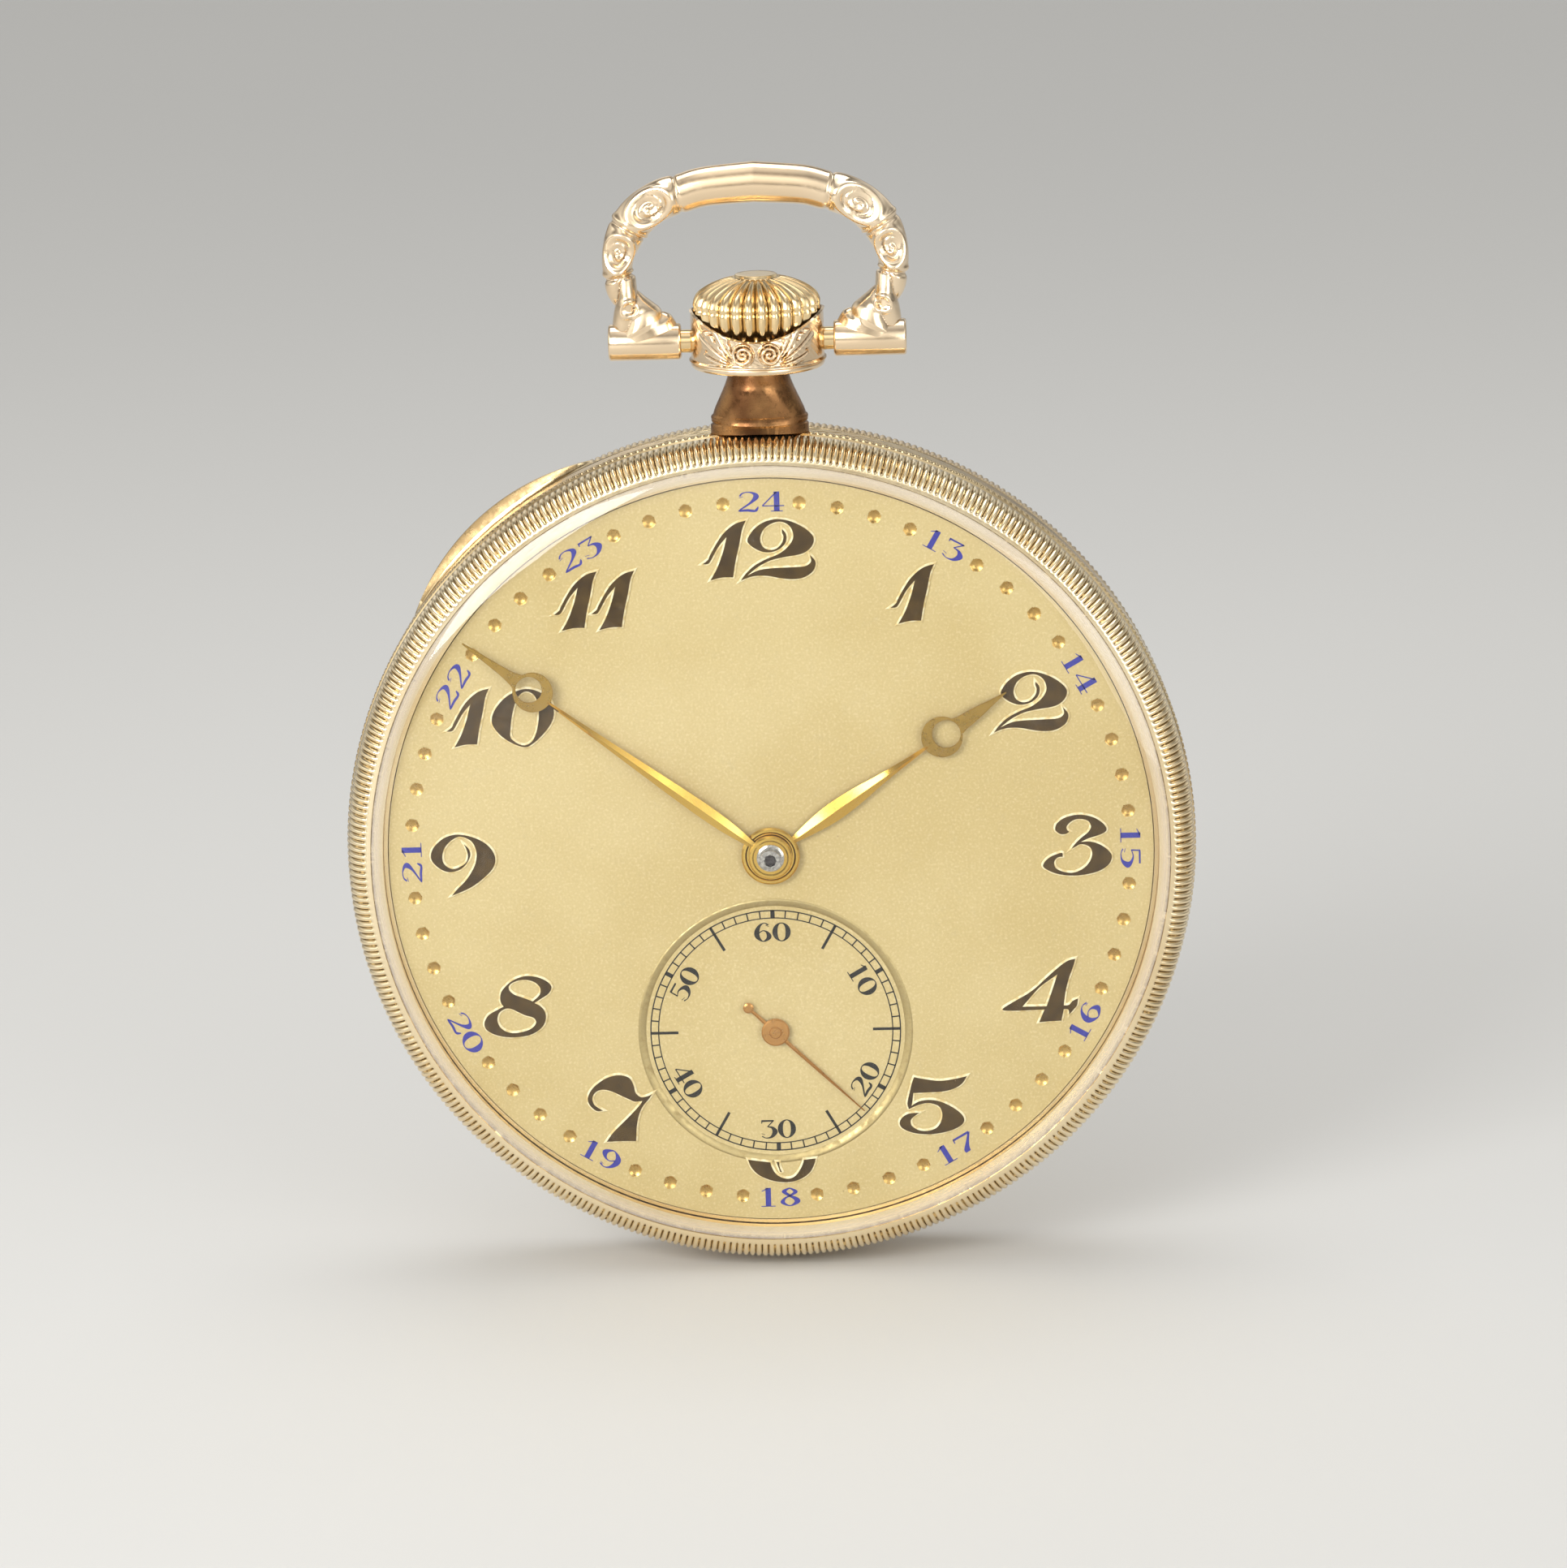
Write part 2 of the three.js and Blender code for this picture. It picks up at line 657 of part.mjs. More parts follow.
add('dial', dial(), dialPaint);
add('hour_hand', hourHand(), gold, CENTRE, HOUR_HAND_DEG);
add('minute_hand', minuteHand(), gold, CENTRE, MINUTE_HAND_DEG);
add('seconds_hand', secondsHand(), gold, FOURTH, SECONDS_HAND_DEG);

// ---------------------------------------------------------------- plates and bridges

const ARBOR_HOLE_R = 0.31;
const BRIDGE_R = 20.6;
const FOOT_IN_R = 18.6;
const BALANCE_CLEAR_R = 8.0;
const BARREL_LOBE_R = 6.9;
const SCREW_HEAD_R = 0.85;
const SCREW_SHANK_R = 0.35;
const SCREW_RADIUS = 19.6;        // bridge screws stand this far from the centre
const BARREL_BRIDGE_SCREWS = [-45, 50];
const TRAIN_BRIDGE_SCREW = 150;
const COCK_DIRECTION = clockFrom(CENTRE, BALANCE);
const CASE_SCREWS = [-80, 85];
const CASE_SCREW_RADIUS = 21.0;

// Cuts a round hole through a plate at each place.
function drilled(body, radius, places) {
  let result = body;
  for (const place of places) {
    result = result.subtract(disc(radius, -3, 4, place, TINY));
  }
  return result;
}

function mainPlate() {
  let body = turned([
    [0, PLATE_FRONT], [20.8, PLATE_FRONT], [20.8, DIAL_BACK + 0.02], [MOVEMENT_R, DIAL_BACK + 0.02],
    [MOVEMENT_R, PLATE_BACK], [0, PLATE_BACK],
  ], LARGE);
  const stemSlot = block([-0.66, -0.62, 12.6], [0.66, 0, 25]);
  const clutchSlot = block([-1.35, -2, 13.5], [1.35, 0, 17.5]);
  const pinionSlot = block([-1.7, -2, 17.5], [1.7, 0, 19.7]);
  const leverSlot = block([-1.7, -2, 19.7], [0.9, 0, 22]);
  const leverSwing = block([0.8, -2, 19.7], [4.8, PLATE_FRONT, 22.5]);
  for (const slot of [stemSlot, clutchSlot, pinionSlot, leverSlot, leverSwing]) {
    body = body.subtract(slot);
  }
  const stemExit = turnedUpright([[0, 19], [0.62, 19], [0.62, 23], [0, 23]], SMALL);
  body = body.subtract(stemExit).subtract(block([-0.62, -2, 20], [0.62, 0, 23]));
  body = drilled(body, ARBOR_HOLE_R, [FOURTH, THIRD, ESCAPE, PALLET, BALANCE]);
  return drilled(body, 0.62, [CENTRE, BARREL]);
}

// Part of the bridge plane that the movement's edge encloses.
function bridgeDisc() {
  return disc(BRIDGE_R, BRIDGE_FRONT, BRIDGE_BACK, CENTRE, LARGE);
}

// Foot of a bridge along the edge, between two clock directions.
function bridgeFoot(fromDeg, toDeg, back = BRIDGE_FRONT + 0.1) {
  const steps = Math.max(3, Math.round((toDeg - fromDeg) / 8));
  return plate(ringSector(FOOT_IN_R, BRIDGE_R, fromDeg, toDeg, steps), PLATE_BACK + 0.03, back);
}

function balanceClearing() {
  return disc(BALANCE_CLEAR_R, -1, 4, BALANCE, MEDIUM);
}

function barrelBridge() {
  const wheelFloor = 1.42;
  const upperHalf = block([-25, 0, 1.2], [25, 3, 25]);
  const lobe = disc(BARREL_LOBE_R, 0, 3, BARREL, MEDIUM);
  let body = bridgeDisc().intersect(upperHalf.add(lobe)).subtract(balanceClearing());
  body = body.add(bridgeFoot(-72, -16)).add(bridgeFoot(16, 76));
  body = body.subtract(disc(3.95, wheelFloor, 3, CROWN_WHEEL, MEDIUM));
  body = body.subtract(disc(6.2, wheelFloor, 3, BARREL, MEDIUM));
  body = body.subtract(block([-1.75, 0, 17.5], [1.75, 3, 19.7]));
  body = drilled(body, 0.62, [BARREL]);
  body = drilled(body, 0.36, [CROWN_WHEEL]);
  return drilled(body, SCREW_SHANK_R + 0.07, BARREL_BRIDGE_SCREWS.map((d) => atClock(SCREW_RADIUS, d)));
}

function trainBridge() {
  const lowerHalf = block([-25, 0, -25], [25, 3, 0.95]);
  const lobe = disc(BARREL_LOBE_R + 0.25, 0, 3, BARREL, MEDIUM);
  let body = bridgeDisc().intersect(lowerHalf).subtract(lobe).subtract(balanceClearing());
  body = body.subtract(ringCut()).add(bridgeFoot(100, 196));
  body = drilled(body, ARBOR_HOLE_R, [CENTRE, FOURTH, THIRD, ESCAPE]);
  return drilled(body, SCREW_SHANK_R + 0.07, [atClock(SCREW_RADIUS, TRAIN_BRIDGE_SCREW)]);
}

// Opens the left side of the train bridge for the balance cock's foot and the pallets.
function ringCut() {
  return block([-25, 0, -25], [-7.4, 3, 3]);
}

function balanceCock() {
  const [armFront, armBack] = [1.72, 2.2];
  const foot = plate(
    ringSector(FOOT_IN_R, BRIDGE_R, COCK_DIRECTION - 11, COCK_DIRECTION + 11, 4),
    PLATE_BACK + 0.03,
    armBack,
  );
  const arm = link(BALANCE, atClock(SCREW_RADIUS, COCK_DIRECTION), 3.6, armFront, armBack);
  const boss = disc(0.95, armBack - 0.1, 2.42, BALANCE);
  let body = arm.add(foot).add(boss).intersect(disc(BRIDGE_R, -1, 4, CENTRE, LARGE));
  body = body.subtract(disc(ARBOR_HOLE_R, 0, 2.15, BALANCE, TINY));
  return drilled(body, SCREW_SHANK_R + 0.07, [atClock(SCREW_RADIUS, COCK_DIRECTION)]);
}

function palletCock() {
  const across = clockFrom(ESCAPE, BALANCE) + 90;
  const step = atClock(2.6, across);
  const ends = [-1, 1].map((s) => [PALLET[0] + s * step[0], PALLET[1] + s * step[1]]);
  let body = link(ends[0], ends[1], 1.0, 0.52, 0.72);
  for (const end of ends) {
    body = body.add(disc(0.5, PLATE_BACK + 0.03, 0.6, end));
  }
  return drilled(body, ARBOR_HOLE_R, [PALLET]);
}

// Cheese-head screw with a slot; the head's underside is at seat, the shank runs to the front.
function screw(headR, shankR, shankFront, seat, head = 0.3) {
  const body = turned([
    [0, shankFront], [shankR, shankFront], [shankR, seat], [headR, seat],
    [headR, seat + head], [0, seat + head],
  ], SMALL);
  const slot = block([-headR - 1, seat + head - 0.13, -0.09], [headR + 1, seat + head + 1, 0.09]);
  return body.subtract(slot);
}

function addBridgeScrew(name, direction, seat, radius = SCREW_RADIUS) {
  const body = screw(SCREW_HEAD_R, SCREW_SHANK_R, PLATE_BACK + 0.03, seat);
  add(name, body, blueSteel, atClock(radius, direction), direction);
}

add('main_plate', mainPlate(), brass);
add('barrel_bridge', barrelBridge(), nickel);
add('train_bridge', trainBridge(), nickel);
add('balance_cock', balanceCock(), nickel);
add('pallet_cock', palletCock(), nickel);
add('regulator', regulator(), steel, BALANCE);
addBridgeScrew('barrel_bridge_screw_1', BARREL_BRIDGE_SCREWS[0], BRIDGE_BACK + 0.03);
addBridgeScrew('barrel_bridge_screw_2', BARREL_BRIDGE_SCREWS[1], BRIDGE_BACK + 0.03);
addBridgeScrew('train_bridge_screw', TRAIN_BRIDGE_SCREW, BRIDGE_BACK + 0.03);
addBridgeScrew('balance_cock_screw', COCK_DIRECTION, 2.23);
addBridgeScrew('case_screw_left', CASE_SCREWS[0], BRIDGE_BACK + 0.05, CASE_SCREW_RADIUS);
addBridgeScrew('case_screw_right', CASE_SCREWS[1], BRIDGE_BACK + 0.05, CASE_SCREW_RADIUS);

function regulator() {
  const [front, back] = [2.24, 2.38];
  const ring = tubeAlongY(1.0, 1.5, front, back);
  const pointer = plate(polygon([[-0.3, 1.3], [0.3, 1.3], [0.07, 4.4], [-0.07, 4.4]]), front, back);
  const tail = plate(polygon([[-0.35, -1.3], [0.35, -1.3], [0.3, -2.6], [-0.3, -2.6]]), front, back);
  return ring.add(pointer).add(tail);
}

// ---------------------------------------------------------------- going train

const PIVOT_R = 0.25;
const SEAT_R = 0.45;              // arbor under a wheel
const SEAT_BORE = 0.5;
const PIVOT_FRONT = -0.7;
const PIVOT_BACK = 1.6;

function addWheelOnArbor({ wheel, arbor, place, wheelMetal = brass }) {
  add(wheel.name, toothedWheel({ bore: SEAT_BORE, ...wheel }), wheelMetal, place);
  add(arbor.name, leafedArbor(arbor), steel, place);
}

addWheelOnArbor({
  place: CENTRE,
  wheel: {
    name: 'centre_wheel',
    teeth: CENTRE_TEETH,
    module: CENTRE_MODULE,
    facing: clockFrom(CENTRE, THIRD),
    front: 0.97,
    back: 1.09,
    spokes: 5,
  },
  arbor: {
    name: 'centre_arbor',
    leaves: PINION_LEAVES,
    module: BARREL_MODULE,
    facing: clockFrom(CENTRE, BARREL),
    gapFaces: true,
    leafFront: -0.12,
    leafBack: 0.2,
    steps: [[0.3, -3.4, -0.1], [SEAT_R, -0.1, 1.12], [PIVOT_R, 1.0, PIVOT_BACK]],
  },
});

addWheelOnArbor({
  place: THIRD,
  wheel: {
    name: 'third_wheel',
    teeth: THIRD_TEETH,
    module: THIRD_MODULE,
    facing: clockFrom(THIRD, FOURTH),
    front: 0.48,
    back: 0.62,
    spokes: 4,
  },
  arbor: {
    name: 'third_arbor',
    leaves: PINION_LEAVES,
    module: CENTRE_MODULE,
    facing: clockFrom(THIRD, CENTRE),
    gapFaces: true,
    leafFront: 0.88,
    leafBack: 1.12,
    steps: [[PIVOT_R, PIVOT_FRONT, 0], [SEAT_R, -0.1, 0.9], [PIVOT_R, 0.9, PIVOT_BACK]],
  },
});

addWheelOnArbor({
  place: FOURTH,
  wheel: {
    name: 'fourth_wheel',
    teeth: FOURTH_TEETH,
    module: FOURTH_MODULE,
    facing: clockFrom(FOURTH, ESCAPE),
    front: -0.08,
    back: 0.06,
    spokes: 4,
  },
  arbor: {
    name: 'fourth_arbor',
    leaves: PINION_LEAVES,
    module: THIRD_MODULE,
    facing: clockFrom(FOURTH, THIRD),
    gapFaces: true,
    leafFront: 0.4,
    leafBack: 0.72,
    steps: [[PIVOT_R, -2.3, 0], [SEAT_R, -0.14, 1.0], [PIVOT_R, 0.9, PIVOT_BACK]],
  },
});

function escapeWheel() {
  const points = [];
  for (let i = 0; i < ESCAPE_TEETH; i += 1) {
    const pitch = 360 / ESCAPE_TEETH;
    points.push(atClock(ESCAPE_R, i * pitch));
    points.push(atClock(ESCAPE_R, i * pitch + 2.4));
    points.push(atClock(ESCAPE_R - 0.75, i * pitch + 6));
    points.push(atClock(ESCAPE_R - 0.75, (i + 1) * pitch - 4));
  }
  let body = plate(polygon(points), 0.22, 0.34).subtract(disc(SEAT_BORE, 0, 1, CENTRE, TINY));
  for (let i = 0; i < 4; i += 1) {
    body = body.subtract(plate(ringSector(1.1, 1.95, i * 90 + 14, i * 90 + 76, 3), 0, 1));
  }
  return body;
}

add('escape_wheel', escapeWheel(), steel, ESCAPE);
add('escape_arbor', leafedArbor({
  leaves: ESCAPE_LEAVES,
  module: FOURTH_MODULE,
  facing: clockFrom(ESCAPE, FOURTH),
  gapFaces: true,
  leafFront: -0.13,
  leafBack: 0.12,
  steps: [[PIVOT_R, PIVOT_FRONT, 0], [SEAT_R - 0.06, -0.14, 0.5], [PIVOT_R, 0.4, PIVOT_BACK]],
}), steel, ESCAPE);

// Lever with two pallet arms over the escape wheel and a forked end at the roller.
function palletFork() {
  const [front, back] = [0.38, 0.47];
  const [stoneFront, stoneBack] = [0.2, 0.47];
  const armReach = 1.7;
  const arms = [-1, 1].map((s) => [s * armReach, -0.7]);
  const forkAt = 4.25;
  let body = link(arms[0], [0, 0], 0.55, front, back, TINY);
  body = body.add(link(arms[1], [0, 0], 0.55, front, back, TINY));
  body = body.add(link([0, 0], [0, forkAt], 0.42, front, back, TINY));
  body = body.add(link([-0.42, forkAt + 0.55], [0, forkAt], 0.22, front, back, TINY));
  body = body.add(link([0.42, forkAt + 0.55], [0, forkAt], 0.22, front, back, TINY));
  for (const [x, z] of arms) {
    body = body.add(block([x - 0.16, stoneFront, z - 0.5], [x + 0.16, stoneBack, z - 0.1]));
  }
  return body.add(disc(PIVOT_R, PIVOT_FRONT, 0.7, CENTRE, TINY));
}

function balanceWheel() {
  const [front, back] = [1.2, 1.45];
  const [inner, outer] = [6.5, 7.1];
  const screws = 12;
  let body = tubeAlongY(inner, outer, front, back, MEDIUM);
  body = body.add(plate(polygon([
    [-inner - 0.2, -0.4], [inner + 0.2, -0.4], [inner + 0.2, 0.4], [-inner - 0.2, 0.4],
  ]), front, back));
  body = body.add(disc(1.0, front, back));
  for (let i = 0; i < screws; i += 1) {
    const geometry = new THREE.CylinderGeometry(0.13, 0.13, 0.6, 6).rotateX(Math.PI / 2);
    geometry.translate(0, (front + back) / 2, outer + 0.2);
    geometry.rotateY(rad((i + 0.5) * 360 / screws));
    body = body.add(solid(geometry));
  }
  return body.subtract(disc(SEAT_BORE, 0, 2, CENTRE, TINY));
}

function balanceStaff() {
  const roller = disc(1.15, 0.56, 0.8);
  const impulsePin = disc(0.13, 0.24, 0.7, [0, -0.85], TINY);
  return disc(PIVOT_R, PIVOT_FRONT, 0.6, CENTRE, TINY)
    .add(disc(SEAT_R, 0.5, 1.66, CENTRE, TINY))
    .add(disc(PIVOT_R, 1.6, 2.05, CENTRE, TINY))
    .add(roller)
    .add(impulsePin);
}

add('pallet_fork', palletFork(), steel, PALLET, clockFrom(PALLET, BALANCE));
add('balance_wheel', balanceWheel(), brass, BALANCE, 20);
add('balance_staff', balanceStaff(), steel, BALANCE, clockFrom(PALLET, BALANCE));
add('hairspring', spiralStrip(0.7, 3.6, 4.5, 0.07, 1.54, 1.64, 12), blueSteel, BALANCE);

// ---------------------------------------------------------------- barrel and winding work

function barrel() {
  const facing = clockFrom(BARREL, CENTRE);
  const teeth = plate(toothedOutline(BARREL_TEETH, BARREL_MODULE, facing, false), -0.12, 0.12);
  const drum = turned([
    [0.95, -0.12], [7.0, -0.12], [7.0, 0.9], [6.75, 0.9], [6.75, 0.12], [0.95, 0.12],
  ], MEDIUM);
  return teeth.subtract(disc(0.95, -1, 2)).add(drum);
}

function barrelArbor() {
  return disc(0.55, PIVOT_FRONT + 0.25, 0.2)
    .add(disc(1.25, 0.17, 0.74))
    .add(disc(0.55, 0.7, 1.98));
}

add('barrel', barrel(), brass, BARREL);
add('barrel_cover', tubeAlongY(0.95, 6.7, 0.77, 0.9, MEDIUM), brass, BARREL);
add('barrel_arbor', barrelArbor(), steel, BARREL);
add('mainspring', spiralStrip(1.45, 6.5, 5, 0.16, 0.2, 0.72, 12), steel, BARREL);

function windingWheel(teeth, facing, gapFaces, bore) {
  return toothedWheel({ teeth, module: WINDING_MODULE, facing, gapFaces, front: 1.5, back: 2.0, bore });
}

// Short screw that holds a wheel down on its bridge.
function wheelScrew(headR, shankR, shankFront) {
  return screw(headR, shankR, shankFront, 2.04, 0.22);
}

function click() {
  const reach = Math.hypot(CLICK[0] - BARREL[0], CLICK[1] - BARREL[1]);
  const nose = reach - WINDING_MODULE * (RATCHET_TEETH / 2 + 0.6) - 0.06;
  const outline = polygon([[-0.7, 0.2], [-0.75, -0.6], [0.05, -nose], [0.5, -0.5], [0.7, 0.2]]);
  return plate(outline, 1.82, 2.0).add(disc(0.8, 1.82, 2.0)).add(disc(0.4, 1.82, 2.25));
}

function clickSpring() {
  const [inner, outer] = [7.3, 7.5];
  const arc = ringSector(inner, outer, 66, 118, 8);
  return plate(arc, 1.82, 1.95).add(disc(0.45, 1.82, 2.1, atClock(outer, 118)));
}

const toRatchet = clockFrom(CROWN_WHEEL, BARREL);
add('ratchet_wheel', windingWheel(RATCHET_TEETH, clockFrom(BARREL, CROWN_WHEEL), true, 0.6), steel, BARREL);
add('ratchet_screw', wheelScrew(1.1, 0.2, 2.03), steel, BARREL, 35);
add('crown_wheel', windingWheel(CROWN_WHEEL_TEETH, toRatchet, false, 0.42), steel, CROWN_WHEEL);
add('crown_wheel_screw', wheelScrew(1.0, 0.3, 1.1), steel, CROWN_WHEEL, 70);
add('click', click(), steel, CLICK, clockFrom(BARREL, CLICK));
add('click_spring', clickSpring(), steel, BARREL);

// Sleeve on the stem with teeth around it, between two heights in z.
function toothedSleeve(teeth, outerR, rootR, boreR, low, high) {
  const points = [];
  const pitch = 360 / teeth;
  for (let i = 0; i < teeth; i += 1) {
    points.push(atClock(outerR, (i - 0.2) * pitch));
    points.push(atClock(outerR, (i + 0.2) * pitch));
    points.push(atClock(rootR, (i + 0.5) * pitch));
  }
  const shape = polygon(points);
  const geometry = new THREE.ExtrudeGeometry(shape, { depth: high - low, bevelEnabled: false });
  geometry.translate(0, 0, low);
  const bore = turnedUpright([[0, low - 1], [boreR, low - 1], [boreR, high + 1], [0, high + 1]], SMALL);
  return solid(geometry).subtract(bore);
}

function windingPinion() {
  return toothedSleeve(WINDING_TEETH, 1.42, 1.15, STEM_R + RUNNING_GAP, 17.65, 19.4);
}

function clutch() {
  const [low, high] = [14.55, 17.5];
  const groove = turnedUpright([[0.68, 15.45], [2, 15.45], [2, 16.35], [0.68, 16.35]], SMALL);
  return toothedSleeve(WINDING_TEETH, 1.05, 0.9, STEM_R + RUNNING_GAP, low, high).subtract(groove);
}

function settingLever() {
  const pinAt = [-SETTING_LEVER[0], 20.5 - SETTING_LEVER[1]];
  return link([0, 0], pinAt, 0.6, -1.1, -0.86)
    .add(disc(0.7, -1.1, -0.86))
    .add(disc(0.3, -1.3, -1.0))
    .add(disc(0.25, -0.9, -0.45, pinAt, TINY));
}

function yoke() {
  const fingerAt = [-YOKE[0], 0];
  return link([0, 0], fingerAt, 0.5, -1.1, -0.86).add(disc(0.75, -1.1, -0.86)).add(disc(0.3, -1.3, -1.0));
}

add('winding_pinion', windingPinion(), steel);
add('clutch', clutch(), steel);
add('setting_lever', settingLever(), steel, SETTING_LEVER);
add('yoke', yoke(), steel, YOKE);

// ---------------------------------------------------------------- motion work

function cannonPinion() {
  const outline = toothedOutline(CANNON_TEETH, CANNON_MODULE, 0, true, 0.45);
  return plate(outline, -1.3, -0.84)
    .add(disc(0.6, -3.5, -1.0))
    .subtract(disc(0.36, -4, 0, CENTRE, TINY));
}

function hourWheel() {
  const wheel = plate(toothedOutline(HOUR_TEETH, HOUR_MODULE, 0, false), -1.56, -1.36);
  return wheel.add(disc(0.9, -2.5, -1.4)).subtract(disc(0.66, -4, 0));
}

function minuteWheel() {
  const wheel = toothedWheel({
    teeth: MINUTE_TEETH,
    module: CANNON_MODULE,
    facing: 180,
    front: -1.28,
    back: -1.1,
    bore: 0,
  });
  const pinion = plate(toothedOutline(MINUTE_PINION_LEAVES, HOUR_MODULE, 180, true, 0.45), -1.54, -1.0);
  return wheel.add(pinion).add(disc(0.35, -1.57, -0.85));
}

function idleWheel(gapFaces) {
  const wheel = toothedWheel({
    teeth: MINUTE_TEETH,
    module: CANNON_MODULE,
    facing: 180,
    gapFaces,
    front: -1.32,
    back: -1.1,
    bore: 0,
  });
  return wheel.add(disc(0.45, -1.45, -0.86));
}

add('cannon_pinion', cannonPinion(), steel);
add('hour_wheel', hourWheel(), brass);
add('minute_wheel', minuteWheel(), brass, MINUTE);
add('intermediate_wheel', idleWheel(true), steel, INTERMEDIATE);
add('setting_wheel', idleWheel(false), steel, SETTING);

export default watch;
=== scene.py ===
"""Open-face pocket watch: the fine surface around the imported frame. Metres, +Z up, -Y out of the dial."""
import json
import math

import bmesh
import bpy
import numpy as np
from mathutils import Matrix, Vector


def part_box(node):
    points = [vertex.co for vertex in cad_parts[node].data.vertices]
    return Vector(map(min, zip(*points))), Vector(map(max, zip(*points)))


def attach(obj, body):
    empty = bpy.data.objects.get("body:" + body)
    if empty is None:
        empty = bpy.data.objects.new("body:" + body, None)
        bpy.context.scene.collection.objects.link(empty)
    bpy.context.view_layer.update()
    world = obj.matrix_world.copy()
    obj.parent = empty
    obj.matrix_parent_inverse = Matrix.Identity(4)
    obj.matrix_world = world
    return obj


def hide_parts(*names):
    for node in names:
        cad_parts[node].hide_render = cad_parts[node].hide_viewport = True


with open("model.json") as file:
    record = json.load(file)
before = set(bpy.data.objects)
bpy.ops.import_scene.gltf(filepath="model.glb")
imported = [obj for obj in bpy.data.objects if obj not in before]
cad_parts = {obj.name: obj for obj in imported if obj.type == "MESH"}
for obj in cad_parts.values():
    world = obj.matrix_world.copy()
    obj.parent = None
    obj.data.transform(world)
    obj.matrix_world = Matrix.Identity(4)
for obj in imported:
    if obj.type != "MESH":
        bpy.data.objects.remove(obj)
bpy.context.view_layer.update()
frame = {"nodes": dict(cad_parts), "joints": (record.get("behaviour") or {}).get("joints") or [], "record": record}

MM = 0.001
TAU = 2 * math.pi

# Heights below are drawn from the middle plane of the case band, 4.3 mm in front of the back flat,
# which is the frame's origin.
DRAWN_BACK = 4.3
SHIFT = np.array([0.0, -DRAWN_BACK, 0.0])

# ---------------------------------------------------------------- places taken from the frame


def span(node):
    """Lowest and highest corner of a CAD node, in millimetres, as drawn."""
    low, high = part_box(node)
    return np.array(low) / MM - SHIFT, np.array(high) / MM - SHIFT


def joint(name):
    return next(j for j in frame["joints"] if j["name"] == name)


def pivot(name):
    """Where a hinge stands, in millimetres, as drawn."""
    return np.array(joint(name)["pos_m"]) / MM - SHIFT


DIAL_LOW, DIAL_HIGH = span("dial")
DIAL_Y = DIAL_LOW[1]
DIAL_R = DIAL_HIGH[0]
BEZEL_LOW = span("bezel")[0]
BAND_R = span("case_middle")[1][0]
SUBDIAL = pivot("seconds_turn")
BOW_Z = pivot("bow_swing")[2]
HINGE = pivot("back_cover_open")

# ---------------------------------------------------------------- mesh helpers


def shaded(mesh, smooth=True):
    mesh.polygons.foreach_set("use_smooth", [smooth] * len(mesh.polygons))


def linked(name, data):
    """A new object in the scene, holding a mesh, curve or lamp."""
    obj = bpy.data.objects.new(name, data)
    bpy.context.scene.collection.objects.link(obj)
    return obj


def link_mesh(name, verts, faces, smooth=True):
    """A mesh from corners in millimetres, as drawn."""
    mesh = bpy.data.meshes.new(name)
    placed = (np.asarray(verts, float) + SHIFT) * MM
    mesh.from_pydata([tuple(v) for v in placed], [], [tuple(f) for f in faces])
    mesh.validate()
    mesh.update()
    shaded(mesh, smooth)
    return linked(name, mesh)


def edited(obj, work):
    """Lets work change the mesh as a bmesh."""
    bm = bmesh.new()
    bm.from_mesh(obj.data)
    work(bm)
    bm.to_mesh(obj.data)
    bm.free()
    return obj


def outward(obj):
    """Makes the faces of a closed mesh point outwards."""
    return edited(obj, lambda bm: bmesh.ops.recalc_face_normals(bm, faces=bm.faces))


def sharpen(obj, degrees=35):
    """Smooth shading with hard edges above an angle."""
    limit = math.radians(degrees)

    def mark(bm):
        for edge in bm.edges:
            edge.smooth = not (edge.is_manifold and edge.calc_face_angle(0) > limit)

    return edited(obj, mark)


def finished(obj, body, material, replaces=(), edge=35):
    """Gives a piece its body, finish and shading."""
    picks = [polygon.material_index for polygon in obj.data.polygons]
    obj.data.materials.clear()
    for item in material if isinstance(material, (list, tuple)) else [material]:
        obj.data.materials.append(item)
    obj.data.polygons.foreach_set("material_index", picks)
    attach(obj, body)
    if replaces:
        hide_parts(*replaces)
    if edge and obj.type == "MESH":
        sharpen(obj, edge)
    return obj


def smoothed(points, per_span=6, closed=False):
    """Catmull-Rom curve through points of any dimension."""
    p = np.asarray(points, float)
    count = len(p)
    out = []
    last = count if closed else count - 1
    for i in range(last):
        if closed:
            a, b, c, d = p[(i - 1) % count], p[i], p[(i + 1) % count], p[(i + 2) % count]
        else:
            a, b, c, d = p[max(i - 1, 0)], p[i], p[i + 1], p[min(i + 2, count - 1)]
        for t in np.arange(per_span) / per_span:
            out.append(0.5 * (2 * b + (c - a) * t + (2 * a - 5 * b + 4 * c - d) * t ** 2
                              + (3 * b - a - 3 * c + d) * t ** 3))
    if not closed:
        out.append(p[-1])
    return np.array(out)


def rounded(points, per_span=6):
    """A smoothed open curve as a list of pairs, ready to join to a profile."""
    return [tuple(p) for p in smoothed(points, per_span)]


def dense(profile, step):
    """Straight profile with extra points so that none are further apart than step."""
    out = [profile[0]]
    for a, b in zip(profile[:-1], profile[1:]):
        a, b = np.asarray(a, float), np.asarray(b, float)
        parts = max(1, int(math.ceil(np.linalg.norm(b - a) / step)))
        out += [tuple(a + (b - a) * k / parts) for k in range(1, parts + 1)]
    return out


